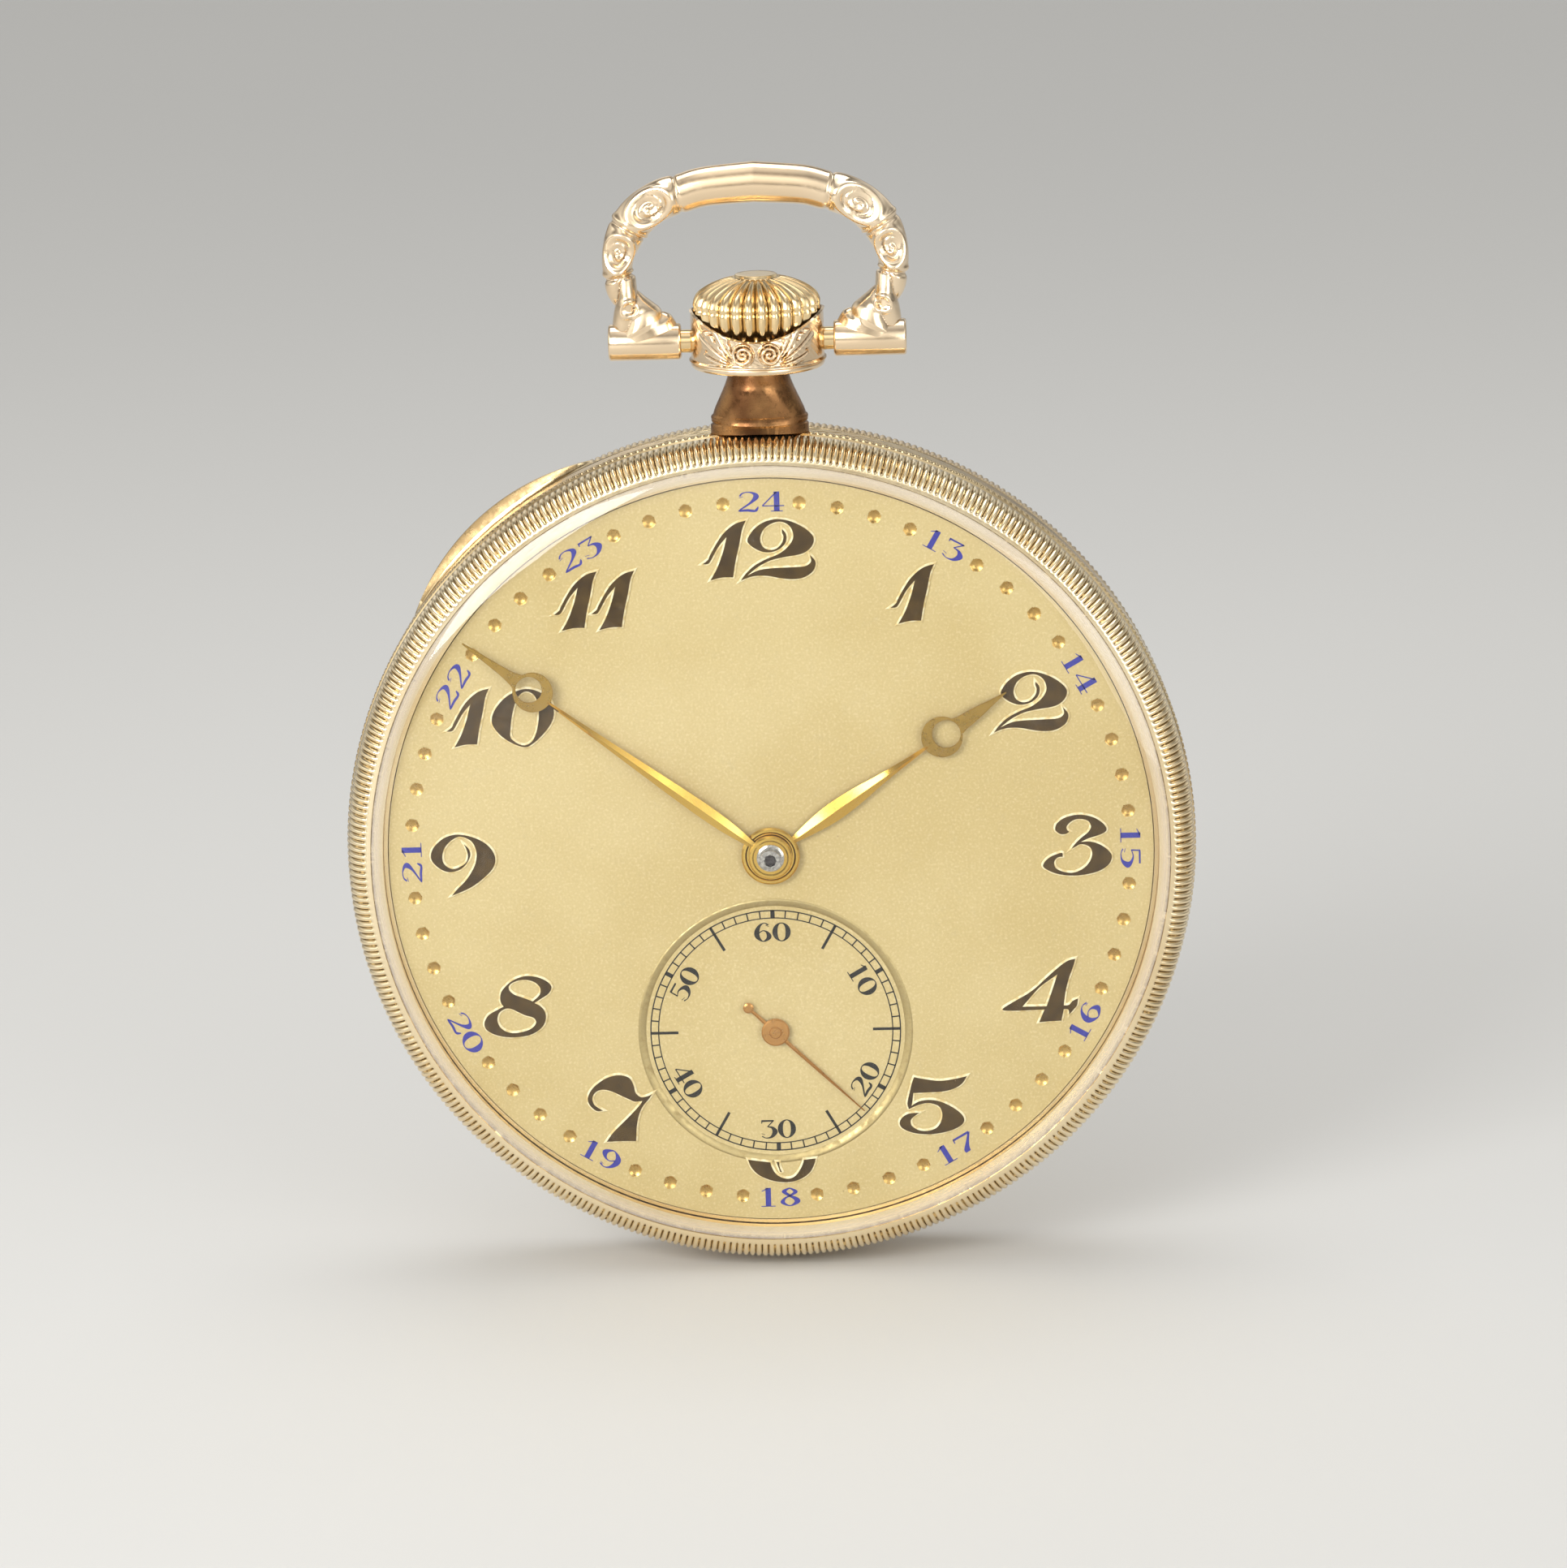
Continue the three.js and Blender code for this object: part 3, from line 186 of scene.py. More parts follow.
def grid_faces(rows, columns, wrap_rows=False, wrap_columns=False):
    """Quads between neighbouring corners of a grid that is stored row after row."""
    out = []
    for i in range(rows if wrap_rows else rows - 1):
        j = (i + 1) % rows
        for k in range(columns if wrap_columns else columns - 1):
            m = (k + 1) % columns
            out.append([i * columns + k, i * columns + m, j * columns + m, j * columns + k])
    return out


def turned(name, profile, steps, relief=None, axis="y", place=(0, 0, 0), closed=None):
    """Solid of revolution from a list of (radius, height).

    relief(angle, along, radius, height) moves each point outwards along the profile's normal.
    The angle is clockwise from twelve as seen from the front.
    """
    p = np.asarray(profile, float)
    on_axis = p[0][0] == 0 and p[-1][0] == 0
    closed = not on_axis if closed is None else closed
    around = np.linspace(0, TAU, steps, endpoint=False)
    if closed:
        tangent = np.roll(p, -1, 0) - np.roll(p, 1, 0)
    else:
        tangent = np.gradient(p, axis=0)
    normal = np.stack([tangent[:, 1], -tangent[:, 0]], 1)
    normal /= np.maximum(np.linalg.norm(normal, axis=1, keepdims=True), 1e-9)
    area = 0.5 * np.sum(p[:, 0] * np.roll(p[:, 1], -1) - np.roll(p[:, 0], -1) * p[:, 1])
    if area < 0:
        normal = -normal
    angle, row = np.meshgrid(around, np.arange(len(p)), indexing="ij")
    radius = p[row, 0].copy()
    height = p[row, 1].copy()
    if relief is not None:
        along = np.concatenate([[0], np.cumsum(np.linalg.norm(np.diff(p, axis=0), axis=1))])
        lift = relief(angle, along[row], p[row, 0], p[row, 1])
        radius += lift * normal[row, 0]
        height += lift * normal[row, 1]
    if axis == "y":
        xyz = np.stack([radius * np.sin(angle), height, radius * np.cos(angle)], -1)
    elif axis == "z":
        xyz = np.stack([radius * np.sin(angle), -radius * np.cos(angle), height], -1)
    else:
        xyz = np.stack([height, radius * np.sin(angle), radius * np.cos(angle)], -1)
    xyz = xyz.reshape(-1, 3) + np.asarray(place, float)
    obj = link_mesh(name, xyz, grid_faces(steps, len(p), True, closed))
    outward(edited(obj, lambda bm: bmesh.ops.remove_doubles(bm, verts=bm.verts, dist=1e-8)))
    shaded(obj.data)
    return obj


def joined(name, objects):
    """Several meshes as one object, each keeping its own shell."""
    bm = bmesh.new()
    for item in objects:
        bm.from_mesh(item.data)
        mesh = item.data
        bpy.data.objects.remove(item)
        bpy.data.meshes.remove(mesh)
    mesh = bpy.data.meshes.new(name)
    bm.to_mesh(mesh)
    bm.free()
    shaded(mesh)
    return linked(name, mesh)


def reshaped(obj, change):
    """Moves a mesh's corners; change takes them and gives them back in millimetres, as drawn."""
    xyz = np.empty(len(obj.data.vertices) * 3)
    obj.data.vertices.foreach_get("co", xyz)
    xyz = change(xyz.reshape(-1, 3) / MM - SHIFT)
    obj.data.vertices.foreach_set("co", ((xyz + SHIFT) * MM).ravel())
    obj.data.update()
    return obj


def clock_turn(degrees, place=(0, 0, 0)):
    """Turn about the y axis, clockwise as seen from the front, then a move in millimetres."""
    return Matrix.Translation(Vector(place) * MM) @ Matrix.Rotation(math.radians(degrees), 4, "Y")


def moved(obj, matrix):
    obj.data.transform(matrix)
    obj.data.update()
    return obj

# ---------------------------------------------------------------- materials


class Nodes:
    """Small builder for a material's node tree; coordinates are millimetres in the piece's own frame."""

    def __init__(self, name):
        self.material = bpy.data.materials.new(name)
        self.material.use_nodes = True
        self.tree = self.material.node_tree
        self.tree.nodes.clear()
        self.output = self.add("ShaderNodeOutputMaterial")
        coords = self.add("ShaderNodeTexCoord")
        scale = self.add("ShaderNodeVectorMath", operation="SCALE")
        scale.inputs["Scale"].default_value = 1 / MM
        self.link(coords.outputs["Object"], scale.inputs[0])
        self.place = scale.outputs[0]

    def add(self, kind, **settings):
        node = self.tree.nodes.new(kind)
        for key, value in settings.items():
            setattr(node, key, value)
        return node

    def link(self, a, b):
        self.tree.links.new(a, b)

    def set(self, socket, value):
        if isinstance(value, bpy.types.NodeSocket):
            self.link(value, socket)
        else:
            socket.default_value = value

    def noise(self, per_mm, detail=3, rough=0.55, stretch=None):
        node = self.add("ShaderNodeTexNoise")
        node.inputs["Scale"].default_value = per_mm
        node.inputs["Detail"].default_value = detail
        node.inputs["Roughness"].default_value = rough
        source = self.place
        if stretch is not None:
            mapping = self.add("ShaderNodeMapping")
            mapping.inputs["Scale"].default_value = stretch
            self.link(source, mapping.inputs["Vector"])
            source = mapping.outputs[0]
        self.link(source, node.inputs["Vector"])
        return node.outputs["Fac"]

    def ramp(self, value, low, high, out_low=0.0, out_high=1.0):
        node = self.add("ShaderNodeMapRange", interpolation_type="SMOOTHSTEP")
        self.set(node.inputs["Value"], value)
        keys = ("From Min", "From Max", "To Min", "To Max")
        for key, number in zip(keys, (low, high, out_low, out_high)):
            node.inputs[key].default_value = number
        return node.outputs[0]

    def math(self, operation, a, b=0.0):
        node = self.add("ShaderNodeMath", operation=operation)
        self.set(node.inputs[0], a)
        self.set(node.inputs[1], b)
        return node.outputs[0]

    def mix(self, factor, a, b):
        node = self.add("ShaderNodeMix", data_type="RGBA")
        self.set(node.inputs["Factor"], factor)
        for socket, value in ((node.inputs[6], a), (node.inputs[7], b)):
            self.set(socket, value if isinstance(value, bpy.types.NodeSocket) else (*value, 1.0))
        return node.outputs[2]

    def bump(self, height, strength, distance_mm):
        node = self.add("ShaderNodeBump")
        node.inputs["Strength"].default_value = strength
        node.inputs["Distance"].default_value = distance_mm * MM
        self.link(height, node.inputs["Height"])
        return node.outputs[0]

    def crevice(self):
        """One in hollows and zero on ridges, from the mesh's own curvature."""
        point = self.add("ShaderNodeNewGeometry").outputs["Pointiness"]
        return self.ramp(point, *CREVICE, 1.0, 0.0)

    def surface(self, **inputs):
        shader = self.add("ShaderNodeBsdfPrincipled")
        for key, value in inputs.items():
            socket = shader.inputs[key.replace("_", " ")]
            if isinstance(value, tuple) and len(value) == 3:
                value = (*value, 1.0)
            self.set(socket, value)
        self.link(shader.outputs[0], self.output.inputs["Surface"])
        return self.material


def srgb(red, green, blue):
    """Linear colour from display values between 0 and 255."""
    def linear(c):
        c /= 255
        return c / 12.92 if c <= 0.04045 else ((c + 0.055) / 1.055) ** 2.4
    return linear(red), linear(green), linear(blue)


GOLD_LIGHT = srgb(240, 218, 172)
GOLD_DEEP = srgb(222, 186, 134)
GOLD_DIRT_AND_SHADE = srgb(84, 54, 26)
CREVICE = (0.42, 0.5)   # pointiness from deep hollow to flat


def gold(name, light=GOLD_LIGHT, deep=GOLD_DEEP, hollow_darkening=0.8, rough=0.16, scratch=0.25):
    """Worn polished gold: warm drift in colour, dark patina and painted shade in hollows, hairline scratches."""
    n = Nodes(name)
    drift = n.ramp(n.noise(0.12, 1), 0.3, 0.75, 0.1, 0.6)
    colour = n.mix(drift, light, deep)
    # Darker in hollows: partly patina, partly painted shade.
    grime_and_shade = n.math("MULTIPLY", n.crevice(), n.ramp(n.noise(1.6, 4), 0.25, 0.6, 0.45, 1.0))
    colour = n.mix(n.math("MULTIPLY", grime_and_shade, hollow_darkening), colour, GOLD_DIRT_AND_SHADE)
    speck = n.ramp(n.noise(5.0, 5, 0.7), 0.66, 0.74)
    colour = n.mix(n.math("MULTIPLY", speck, 0.35), colour, GOLD_DIRT_AND_SHADE)
    roughness = n.ramp(n.noise(2.2, 5, 0.65), 0.3, 0.75, rough * 0.7, rough * 1.7)
    roughness = n.math("ADD", roughness, n.math("MULTIPLY", grime_and_shade, 0.25))
    hair = n.noise(3.0, 4, 0.6, (1.0, 1.0, 26.0))
    hair = n.math("ADD", hair, n.noise(3.0, 4, 0.6, (22.0, 1.0, 1.5)))
    fine = n.math("ADD", hair, n.noise(14.0, 3))
    return n.surface(Base_Color=colour, Metallic=1.0, Roughness=roughness,
                     Normal=n.bump(fine, scratch, 0.006))


def copper_patina():
    """Old neck: dark copper brown with rubbed gold patches."""
    n = Nodes("neck_patina")
    rubbed = n.ramp(n.noise(0.5, 2, 0.4), 0.35, 0.7)
    colour = n.mix(rubbed, srgb(112, 76, 48), srgb(172, 128, 82))
    spots = n.ramp(n.noise(3.5, 5, 0.7), 0.58, 0.72)
    colour = n.mix(n.math("MULTIPLY", spots, 0.35), colour, srgb(60, 34, 20))
    colour = n.mix(n.math("MULTIPLY", n.crevice(), 0.7), colour, srgb(42, 24, 14))
    roughness = n.ramp(n.noise(3.0, 5), 0.3, 0.7, 0.16, 0.42)
    return n.surface(Base_Color=colour, Metallic=1.0, Roughness=roughness,
                     Normal=n.bump(n.noise(9.0, 4), 0.3, 0.01))


def dial_gilt():
    """Frosted gilt dial: fine sandy grain, faint stains and tiny dark specks."""
    n = Nodes("dial_gilt")
    warm = n.ramp(n.noise(0.08, 3), 0.35, 0.65)
    colour = n.mix(warm, srgb(203, 184, 134), srgb(195, 174, 120))
    stain = n.ramp(n.noise(0.4, 6, 0.7), 0.62, 0.8)
    colour = n.mix(n.math("MULTIPLY", stain, 0.25), colour, srgb(172, 144, 94))
    speck = n.ramp(n.noise(2.6, 3, 0.5), 0.78, 0.82)
    colour = n.mix(n.math("MULTIPLY", speck, 0.45), colour, srgb(120, 88, 48))
    grain = n.noise(7.0, 3, 0.6)
    colour = n.mix(n.ramp(grain, 0.5, 0.68, 0.0, 0.3), colour, srgb(234, 219, 176))
    colour = n.mix(n.ramp(grain, 0.46, 0.34, 0.0, 0.12), colour, srgb(170, 148, 98))
    return n.surface(Base_Color=colour, Metallic=0.12, Roughness=n.ramp(grain, 0.3, 0.7, 0.42, 0.58),
                     Normal=n.bump(grain, 0.6, 0.03))


def numeral_face():
    """Polished face of the applied numerals; its dark brown colour is a painted reflection of dark surroundings.
    """
    n = Nodes("numeral_face")
    cloud = n.ramp(n.noise(1.1, 4), 0.3, 0.7)
    # Dark brown face: painted reflection of dark surroundings.
    colour = n.mix(cloud, srgb(58, 40, 10), srgb(80, 60, 22))
    speck = n.ramp(n.noise(8.0, 4, 0.7), 0.66, 0.74)
    colour = n.mix(n.math("MULTIPLY", speck, 0.7), colour, srgb(190, 164, 116))
    roughness = n.ramp(n.noise(3, 4), 0.3, 0.7, 0.34, 0.5)
    return n.surface(Base_Color=colour, Specular_IOR_Level=0.3, Roughness=roughness,
                     Normal=n.bump(n.noise(10, 4), 0.2, 0.01))


def numeral_edge():
    """Sloped sides of the numerals, bright with a painted highlight."""
    n = Nodes("numeral_edge")
    highlight_patches = n.ramp(n.noise(2.5, 4), 0.4, 0.65)
    # Near-white sides: painted highlight, patchy at random.
    colour = n.mix(highlight_patches, srgb(255, 247, 214), srgb(226, 204, 146))
    return n.surface(Base_Color=colour, Metallic=0.15, Roughness=0.34,
                     Normal=n.bump(n.noise(8, 3), 0.2, 0.01))


def ink(name, colour, rough=0.45):
    """Printed enamel ink, slightly uneven."""
    n = Nodes(name)
    thin = n.ramp(n.noise(5.0, 4, 0.7), 0.5, 0.8)
    pale = tuple(min(1.0, c * 1.5 + 0.01) for c in colour)
    return n.surface(Base_Color=n.mix(thin, colour, pale), Roughness=rough,
                     Normal=n.bump(n.noise(12.0, 2), 0.15, 0.01))


def clear_glass():
    """Crystal: straight-through view with Fresnel reflections, faint hazing, a painted whitish highlight round the
    rim, and hairlines.
    """
    n = Nodes("crystal_glass")
    fresnel = n.add("ShaderNodeFresnel")
    fresnel.inputs["IOR"].default_value = 1.5
    gloss = n.add("ShaderNodeBsdfGlossy")
    gloss.inputs["Color"].default_value = (1, 1, 1, 1)
    n.link(n.ramp(n.noise(0.5, 4), 0.3, 0.7, 0.015, 0.06), gloss.inputs["Roughness"])
    n.link(n.bump(n.noise(2.0, 4, 0.6, (1.0, 1.0, 18.0)), 0.008, 0.004), gloss.inputs["Normal"])
    clear = n.add("ShaderNodeBsdfTransparent")
    clear.inputs["Color"].default_value = (0.985, 0.985, 0.975, 1)
    mix = n.add("ShaderNodeMixShader")
    facing = n.add("ShaderNodeNewGeometry")
    front_only = n.math("SUBTRACT", 1.0, facing.outputs["Backfacing"])
    n.link(n.math("MULTIPLY", fresnel.outputs[0], front_only), mix.inputs[0])
    n.link(clear.outputs[0], mix.inputs[1])
    n.link(gloss.outputs[0], mix.inputs[2])
    haze_and_highlight_shader = n.add("ShaderNodeBsdfDiffuse")
    haze_and_highlight_shader.inputs["Color"].default_value = (0.8, 0.75, 0.72, 1)
    haze_and_rim_highlight = n.add("ShaderNodeMixShader")
    across = n.add("ShaderNodeSeparateXYZ")
    n.link(n.place, across.inputs[0])
    radius = n.math("POWER", n.math("ADD", n.math("POWER", across.outputs[0], 2.0),
                                    n.math("POWER", across.outputs[2], 2.0)), 0.5)
    # Whitish towards the rim: painted highlight of the glass edge.
    rim = n.ramp(radius, 21.8, 22.6, 0.0, 0.24)
    n.link(n.math("MAXIMUM", rim, n.ramp(n.noise(1.2, 5, 0.7), 0.55, 0.85, 0.0, 0.05)), haze_and_rim_highlight.inputs[0])
    n.link(mix.outputs[0], haze_and_rim_highlight.inputs[1])
    n.link(haze_and_highlight_shader.outputs[0], haze_and_rim_highlight.inputs[2])
    n.link(haze_and_rim_highlight.outputs[0], n.output.inputs["Surface"])
    return n.material


def steel(name, light, dark, rough, lines=None, per_mm=6.0):
    """Machined metal with directional grain; darker in hollows as painted shade."""
    n = Nodes(name)
    grain = n.noise(per_mm, 4, 0.6, lines)
    colour = n.mix(n.ramp(grain, 0.3, 0.7), light, dark)
    # Darker in hollows: painted shade.
    colour = n.mix(n.math("MULTIPLY", n.crevice(), 0.5), colour, tuple(c * 0.35 for c in dark))
    roughness = n.ramp(n.noise(2.0, 4), 0.3, 0.7, rough, rough * 1.8)
    return n.surface(Base_Color=colour, Metallic=1.0, Roughness=roughness,
                     Normal=n.bump(grain, 0.1, 0.01))


def striped_nickel():
    """Bridge finish: broad parallel polished stripes."""
    n = Nodes("striped_nickel")
    wave = n.add("ShaderNodeTexWave", wave_type="BANDS", bands_direction="DIAGONAL", wave_profile="SAW")
    wave.inputs["Scale"].default_value = 0.22
    wave.inputs["Distortion"].default_value = 0.0
    n.link(n.place, wave.inputs["Vector"])
    grain = n.noise(9.0, 3, 0.6, (1.0, 1.0, 0.2))
    colour = n.mix(wave.outputs["Fac"], srgb(226, 224, 216), srgb(168, 166, 160))
    height = n.math("ADD", wave.outputs["Fac"], n.math("MULTIPLY", grain, 0.2))
    return n.surface(Base_Color=colour, Metallic=1.0, Roughness=n.ramp(grain, 0.3, 0.7, 0.2, 0.34),
                     Normal=n.bump(height, 0.5, 0.04))


MAT = {
    "polished": gold("polished_gold", hollow_darkening=0.55, rough=0.1, scratch=0.18),
    "engraved": gold("engraved_gold", hollow_darkening=1.0, rough=0.15, scratch=0.2),
    "ribbed": gold("ribbed_gold", srgb(249, 232, 196), srgb(232, 204, 154), hollow_darkening=0.9, rough=0.15),
    "neck": copper_patina(),
    "dial": dial_gilt(),
    "numeral_face": numeral_face(),
    "numeral_edge": numeral_edge(),
    "dimple": gold("dimple_gold", srgb(210, 176, 108), srgb(178, 140, 78), hollow_darkening=0.5, rough=0.26),
    "moon": gold("flat_hand_gold", srgb(186, 154, 80), srgb(148, 116, 56), hollow_darkening=0.3, rough=0.3,
                 scratch=0.1),
    "copper_hand": gold("copper_hand_gold", srgb(204, 154, 94), srgb(168, 120, 72), hollow_darkening=0.3, rough=0.34),
    # Darker copy of the case gold: painted shade on the lip's front faces.
    "lip": gold("lip_shaded_gold", srgb(164, 142, 104), srgb(112, 90, 58), hollow_darkening=0.8, rough=0.3),
    "dark_steel": steel("dark_steel", srgb(96, 92, 92), srgb(60, 56, 58), 0.25),
    "rose": gold("rose_gold", srgb(248, 228, 198), srgb(230, 198, 156), hollow_darkening=1.0, rough=0.15, scratch=0.2),
    "recess_edge": gold("recess_edge", srgb(198, 180, 132), srgb(168, 150, 104), hollow_darkening=0.2, rough=0.45),
    "blue_ink": ink("blue_ink", srgb(48, 50, 148)),
    "black_ink": ink("black_ink", srgb(20, 17, 13)),
    "glass": clear_glass(),
    "hands": gold("hand_gold", srgb(232, 196, 104), srgb(206, 160, 66), hollow_darkening=0.3, rough=0.12, scratch=0.12),
    "steel": steel("polished_steel", srgb(212, 210, 206), srgb(160, 157, 153), 0.14),
    "wheel_brass": steel("wheel_brass", srgb(222, 186, 108), srgb(176, 134, 66), 0.2, (1, 0.2, 1), 7.0),
    "gilt_plate": steel("gilt_plate", srgb(224, 190, 116), srgb(190, 150, 84), 0.34, None, 16.0),
    "nickel": striped_nickel(),
    "blue_steel": steel("blued_steel", srgb(52, 74, 158), srgb(22, 30, 84), 0.14, (1, 1, 1), 4.0),
}

# ---------------------------------------------------------------- case, covers and crystal

RIBS = 400
RIB_STEPS = 6
FINE_STEP = 0.09        # spacing of profile points where there is relief
COARSE_STEP = 0.6
BEZEL_ROUND = (1.4, 1.5)
BEZEL_LIP = 22.6
BEZEL_RIB_DEPTH = 0.17
CRYSTAL_R = 22.55
CRYSTAL_BORE = 21.5
CRYSTAL_SEAT_Y = -3.0
CRYSTAL_BASE_Y = -2.66
CRYSTAL_HOLLOW = 1.37
CRYSTAL_RISE = 1.45
HINGE_CLEAR = 0.54
HINGE_HALF = 3.7
KNUCKLE_R = 0.42
KNUCKLE_HALF = 0.6
LIP_ANGLE = math.radians(-40)
LIP_HALF = math.radians(16.5)
LIP_REACH = 0.8
LIP_START = 24.12       # beyond this lie only the lip and the crest of the hinge barrels


def bump_between(value, low, high, edge):
    """One between two levels, falling smoothly to zero over edge."""
    rise = np.clip((value - low) / edge + 0.5, 0, 1)
    fall = np.clip((high - value) / edge + 0.5, 0, 1)
    smooth = np.minimum(rise, fall)
    return smooth * smooth * (3 - 2 * smooth)


def hinge_cleared(obj):
    """Pulls the rim in where the hinge barrel lies."""
    out = np.array([HINGE[0], 0, HINGE[2]])
    reach = np.linalg.norm(out)
    out /= reach
    along = np.array([out[2], 0, -out[0]])

    def cleared(xyz):
        u = xyz @ out - reach
        t = xyz @ along
        w = xyz[:, 1] - HINGE[1]
        wall = -np.sqrt(np.maximum(HINGE_CLEAR ** 2 - w ** 2, 0))
        inside = (np.abs(t) < HINGE_HALF) & (np.abs(w) < HINGE_CLEAR) & (u > wall)
        xyz[inside] += ((wall - u)[:, None] * out)[inside]
        return xyz

    return reshaped(obj, cleared)


def hinge_knuckle(name, offset):
    """One barrel of the hinge, with turned ends, centred offset millimetres along the hinge."""
    half = KNUCKLE_HALF
    profile = [(0, -half), (KNUCKLE_R - 0.08, -half), (KNUCKLE_R, -half + 0.07), (KNUCKLE_R, half - 0.07),
               (KNUCKLE_R - 0.08, half), (0, half)]
    obj = turned(name, profile, 40, axis="x", place=(offset, 0, 0))
    turn = math.degrees(math.atan2(HINGE[0], HINGE[2]))
    return moved(obj, clock_turn(turn, HINGE))


def bezel_relief(angle, along, radius, height):
    tip = BEZEL_LIP + BEZEL_ROUND[0]
    body = bump_between(radius, BEZEL_LIP + 0.33, tip + 1, 0.12) * bump_between(height, -9, -1.32, 0.1)
    rib = np.abs(np.sin(angle * RIBS / 2))
    return -BEZEL_RIB_DEPTH * body * (1 - rib ** 0.8)


quarter = [(BEZEL_LIP + BEZEL_ROUND[0] * math.sin(t), BEZEL_LOW[1] + BEZEL_ROUND[1] * (1 - math.cos(t)))
           for t in np.linspace(0, math.pi / 2, 26)]
bezel_profile = quarter + [(24.0, -1.15), (22.5, -1.15), (22.5, -2.1), (21.95, -2.1), (21.95, -2.6),
                           (22.35, -2.66), (22.6, -2.72), (22.6, -2.9)]
bezel = turned("bezel_fine", bezel_profile, RIBS * RIB_STEPS, bezel_relief, closed=True)
finished(bezel, "bezel_unit", MAT["ribbed"], ["bezel"], edge=60)

outer_dome = [(CRYSTAL_R * f, CRYSTAL_SEAT_Y - 0.25 * min(1, (1 - f) / 0.03) - CRYSTAL_RISE * (1 - f * f))
              for f in np.linspace(1, 0, 40)]
inner_dome = [(CRYSTAL_BORE * f, CRYSTAL_SEAT_Y + 0.12 - CRYSTAL_HOLLOW * (1 - f * f))
              for f in np.linspace(0, 1, 40)]
crystal_profile = outer_dome[::-1] + [(CRYSTAL_R, CRYSTAL_BASE_Y), (21.85, CRYSTAL_BASE_Y)] + inner_dome[::-1]
crystal = turned("crystal_fine", crystal_profile, 240)
finished(crystal, "bezel_unit", MAT["glass"], ["crystal"])


def band_relief(angle, along, radius, height):
    """Three thin lines on the case band, lozenges between the front two, leaves by the neck behind them."""
    on_wall = bump_between(radius, 24.0, 26, 0.02)
    lines = sum(bump_between(height, y - 0.05, y + 0.05, 0.06) for y in (-0.68, 0.02, 1.22))
    wave = np.abs(np.sin(angle * RIBS / 2)) * 0.62 - np.abs(height + 0.33) * 1.8
    chain = np.clip(wave / 0.25, 0, 1) * bump_between(height, -0.6, -0.06, 0.08)
    leaf = np.sin(angle * 90 + 9 * height) * np.sin(angle * 45 - 5 * height)
    near_neck = np.exp(-(np.angle(np.exp(1j * angle)) / 0.34) ** 2)
    leaf = leaf * bump_between(height, 0.15, 1.1, 0.15) * near_neck
    return on_wall * (-0.07 * lines + 0.07 * chain + 0.06 * leaf)


BAND_OUTLINE = [
    (21.7, -1.95), (22.35, -1.95), (22.35, -1.0), (23.85, -1.0), (24.05, -0.8), (24.05, 1.4),
    (23.85, 1.6), (22.4, 1.6), (22.4, 2.5), (22.0, 2.5), (22.0, 1.75), (21.7, 1.75),
]
band_profile = dense(BAND_OUTLINE, FINE_STEP)
band = turned("case_band", band_profile[:-1], RIBS * 6, band_relief, closed=True)
hinge_cleared(band)
band = joined("case_band", [band] + [hinge_knuckle("case_knuckle", s * 2.6) for s in (-1, 1)])
finished(band, "case", MAT["engraved"], ["case_middle"], edge=60)


def back_relief(angle, along, radius, height):
    """Coin edge on the rim, the opening lip, and engine turning round a plain shield on the outside."""
    rim = bump_between(radius, 23.1, 26, 0.1) * bump_between(height, 2.0, 3.9, 0.1)
    ribs = -0.1 * rim * (1 - np.abs(np.sin(angle * RIBS / 2)) ** 0.8)
    away = np.angle(np.exp(1j * (angle - LIP_ANGLE))) / LIP_HALF
    lip = LIP_REACH * np.clip(1 - away ** 2, 0, 1) * bump_between(height, 2.5, 2.9, 0.16) * (radius > 23.9)
    ribs = ribs * (np.abs(away) > 1)
    field = bump_between(radius, 5.2, 21.0, 0.4) * (height > 4.1)
    turning = np.cos(angle * 72 + 2.4 * np.sin(radius * 1.15)) * 0.5 + 0.5
    fine = np.cos(radius * TAU / 0.5) * 0.5 + 0.5
    rings = sum(bump_between(radius, r - 0.06, r + 0.06, 0.1) for r in (5.0, 21.3)) * (height > 4.1)
    return ribs + lip - 0.05 * field * turning * fine - 0.06 * rings


BACK_INSIDE = [(0, 3.75), (22.5, 3.75), (23.2, 3.2), (23.2, 1.85), (23.85, 1.85), (24.0, 2.2)]
BACK_ROUND = [(24.0, 2.2), (24.0, 3.1), (23.75, 3.6), (23.2, 4.0), (22.3, 4.22), (21.5, 4.3)]
back_profile = dense(BACK_INSIDE, COARSE_STEP)
back_profile += dense(BACK_ROUND, FINE_STEP)[1:]
back_profile += dense([(21.5, 4.3), (4.6, 4.3)], 0.125)[1:] + [(0, 4.3)]
back = turned("back_cover_fine", back_profile, RIBS * 4, back_relief)
hinge_cleared(back)
back = joined("back_cover_fine", [back] + [hinge_knuckle("back_knuckle", s * 1.3) for s in (-1, 1)])
# Front faces of the lip take the darker gold: painted shade.
for polygon in back.data.polygons:
    corner = np.array(polygon.center) / MM
    on_lip = math.hypot(corner[0], corner[2]) > LIP_START and polygon.normal.y < -0.6
    polygon.material_index = int(on_lip)
finished(back, "back_cover", [MAT["engraved"], MAT["lip"]], ["back_cover"], edge=50)


def dust_relief(angle, along, radius, height):
    """Two turned lines near the edge."""
    return -0.05 * sum(bump_between(radius, c - 0.05, c + 0.05, 0.08) for c in (20.4, 21.0))


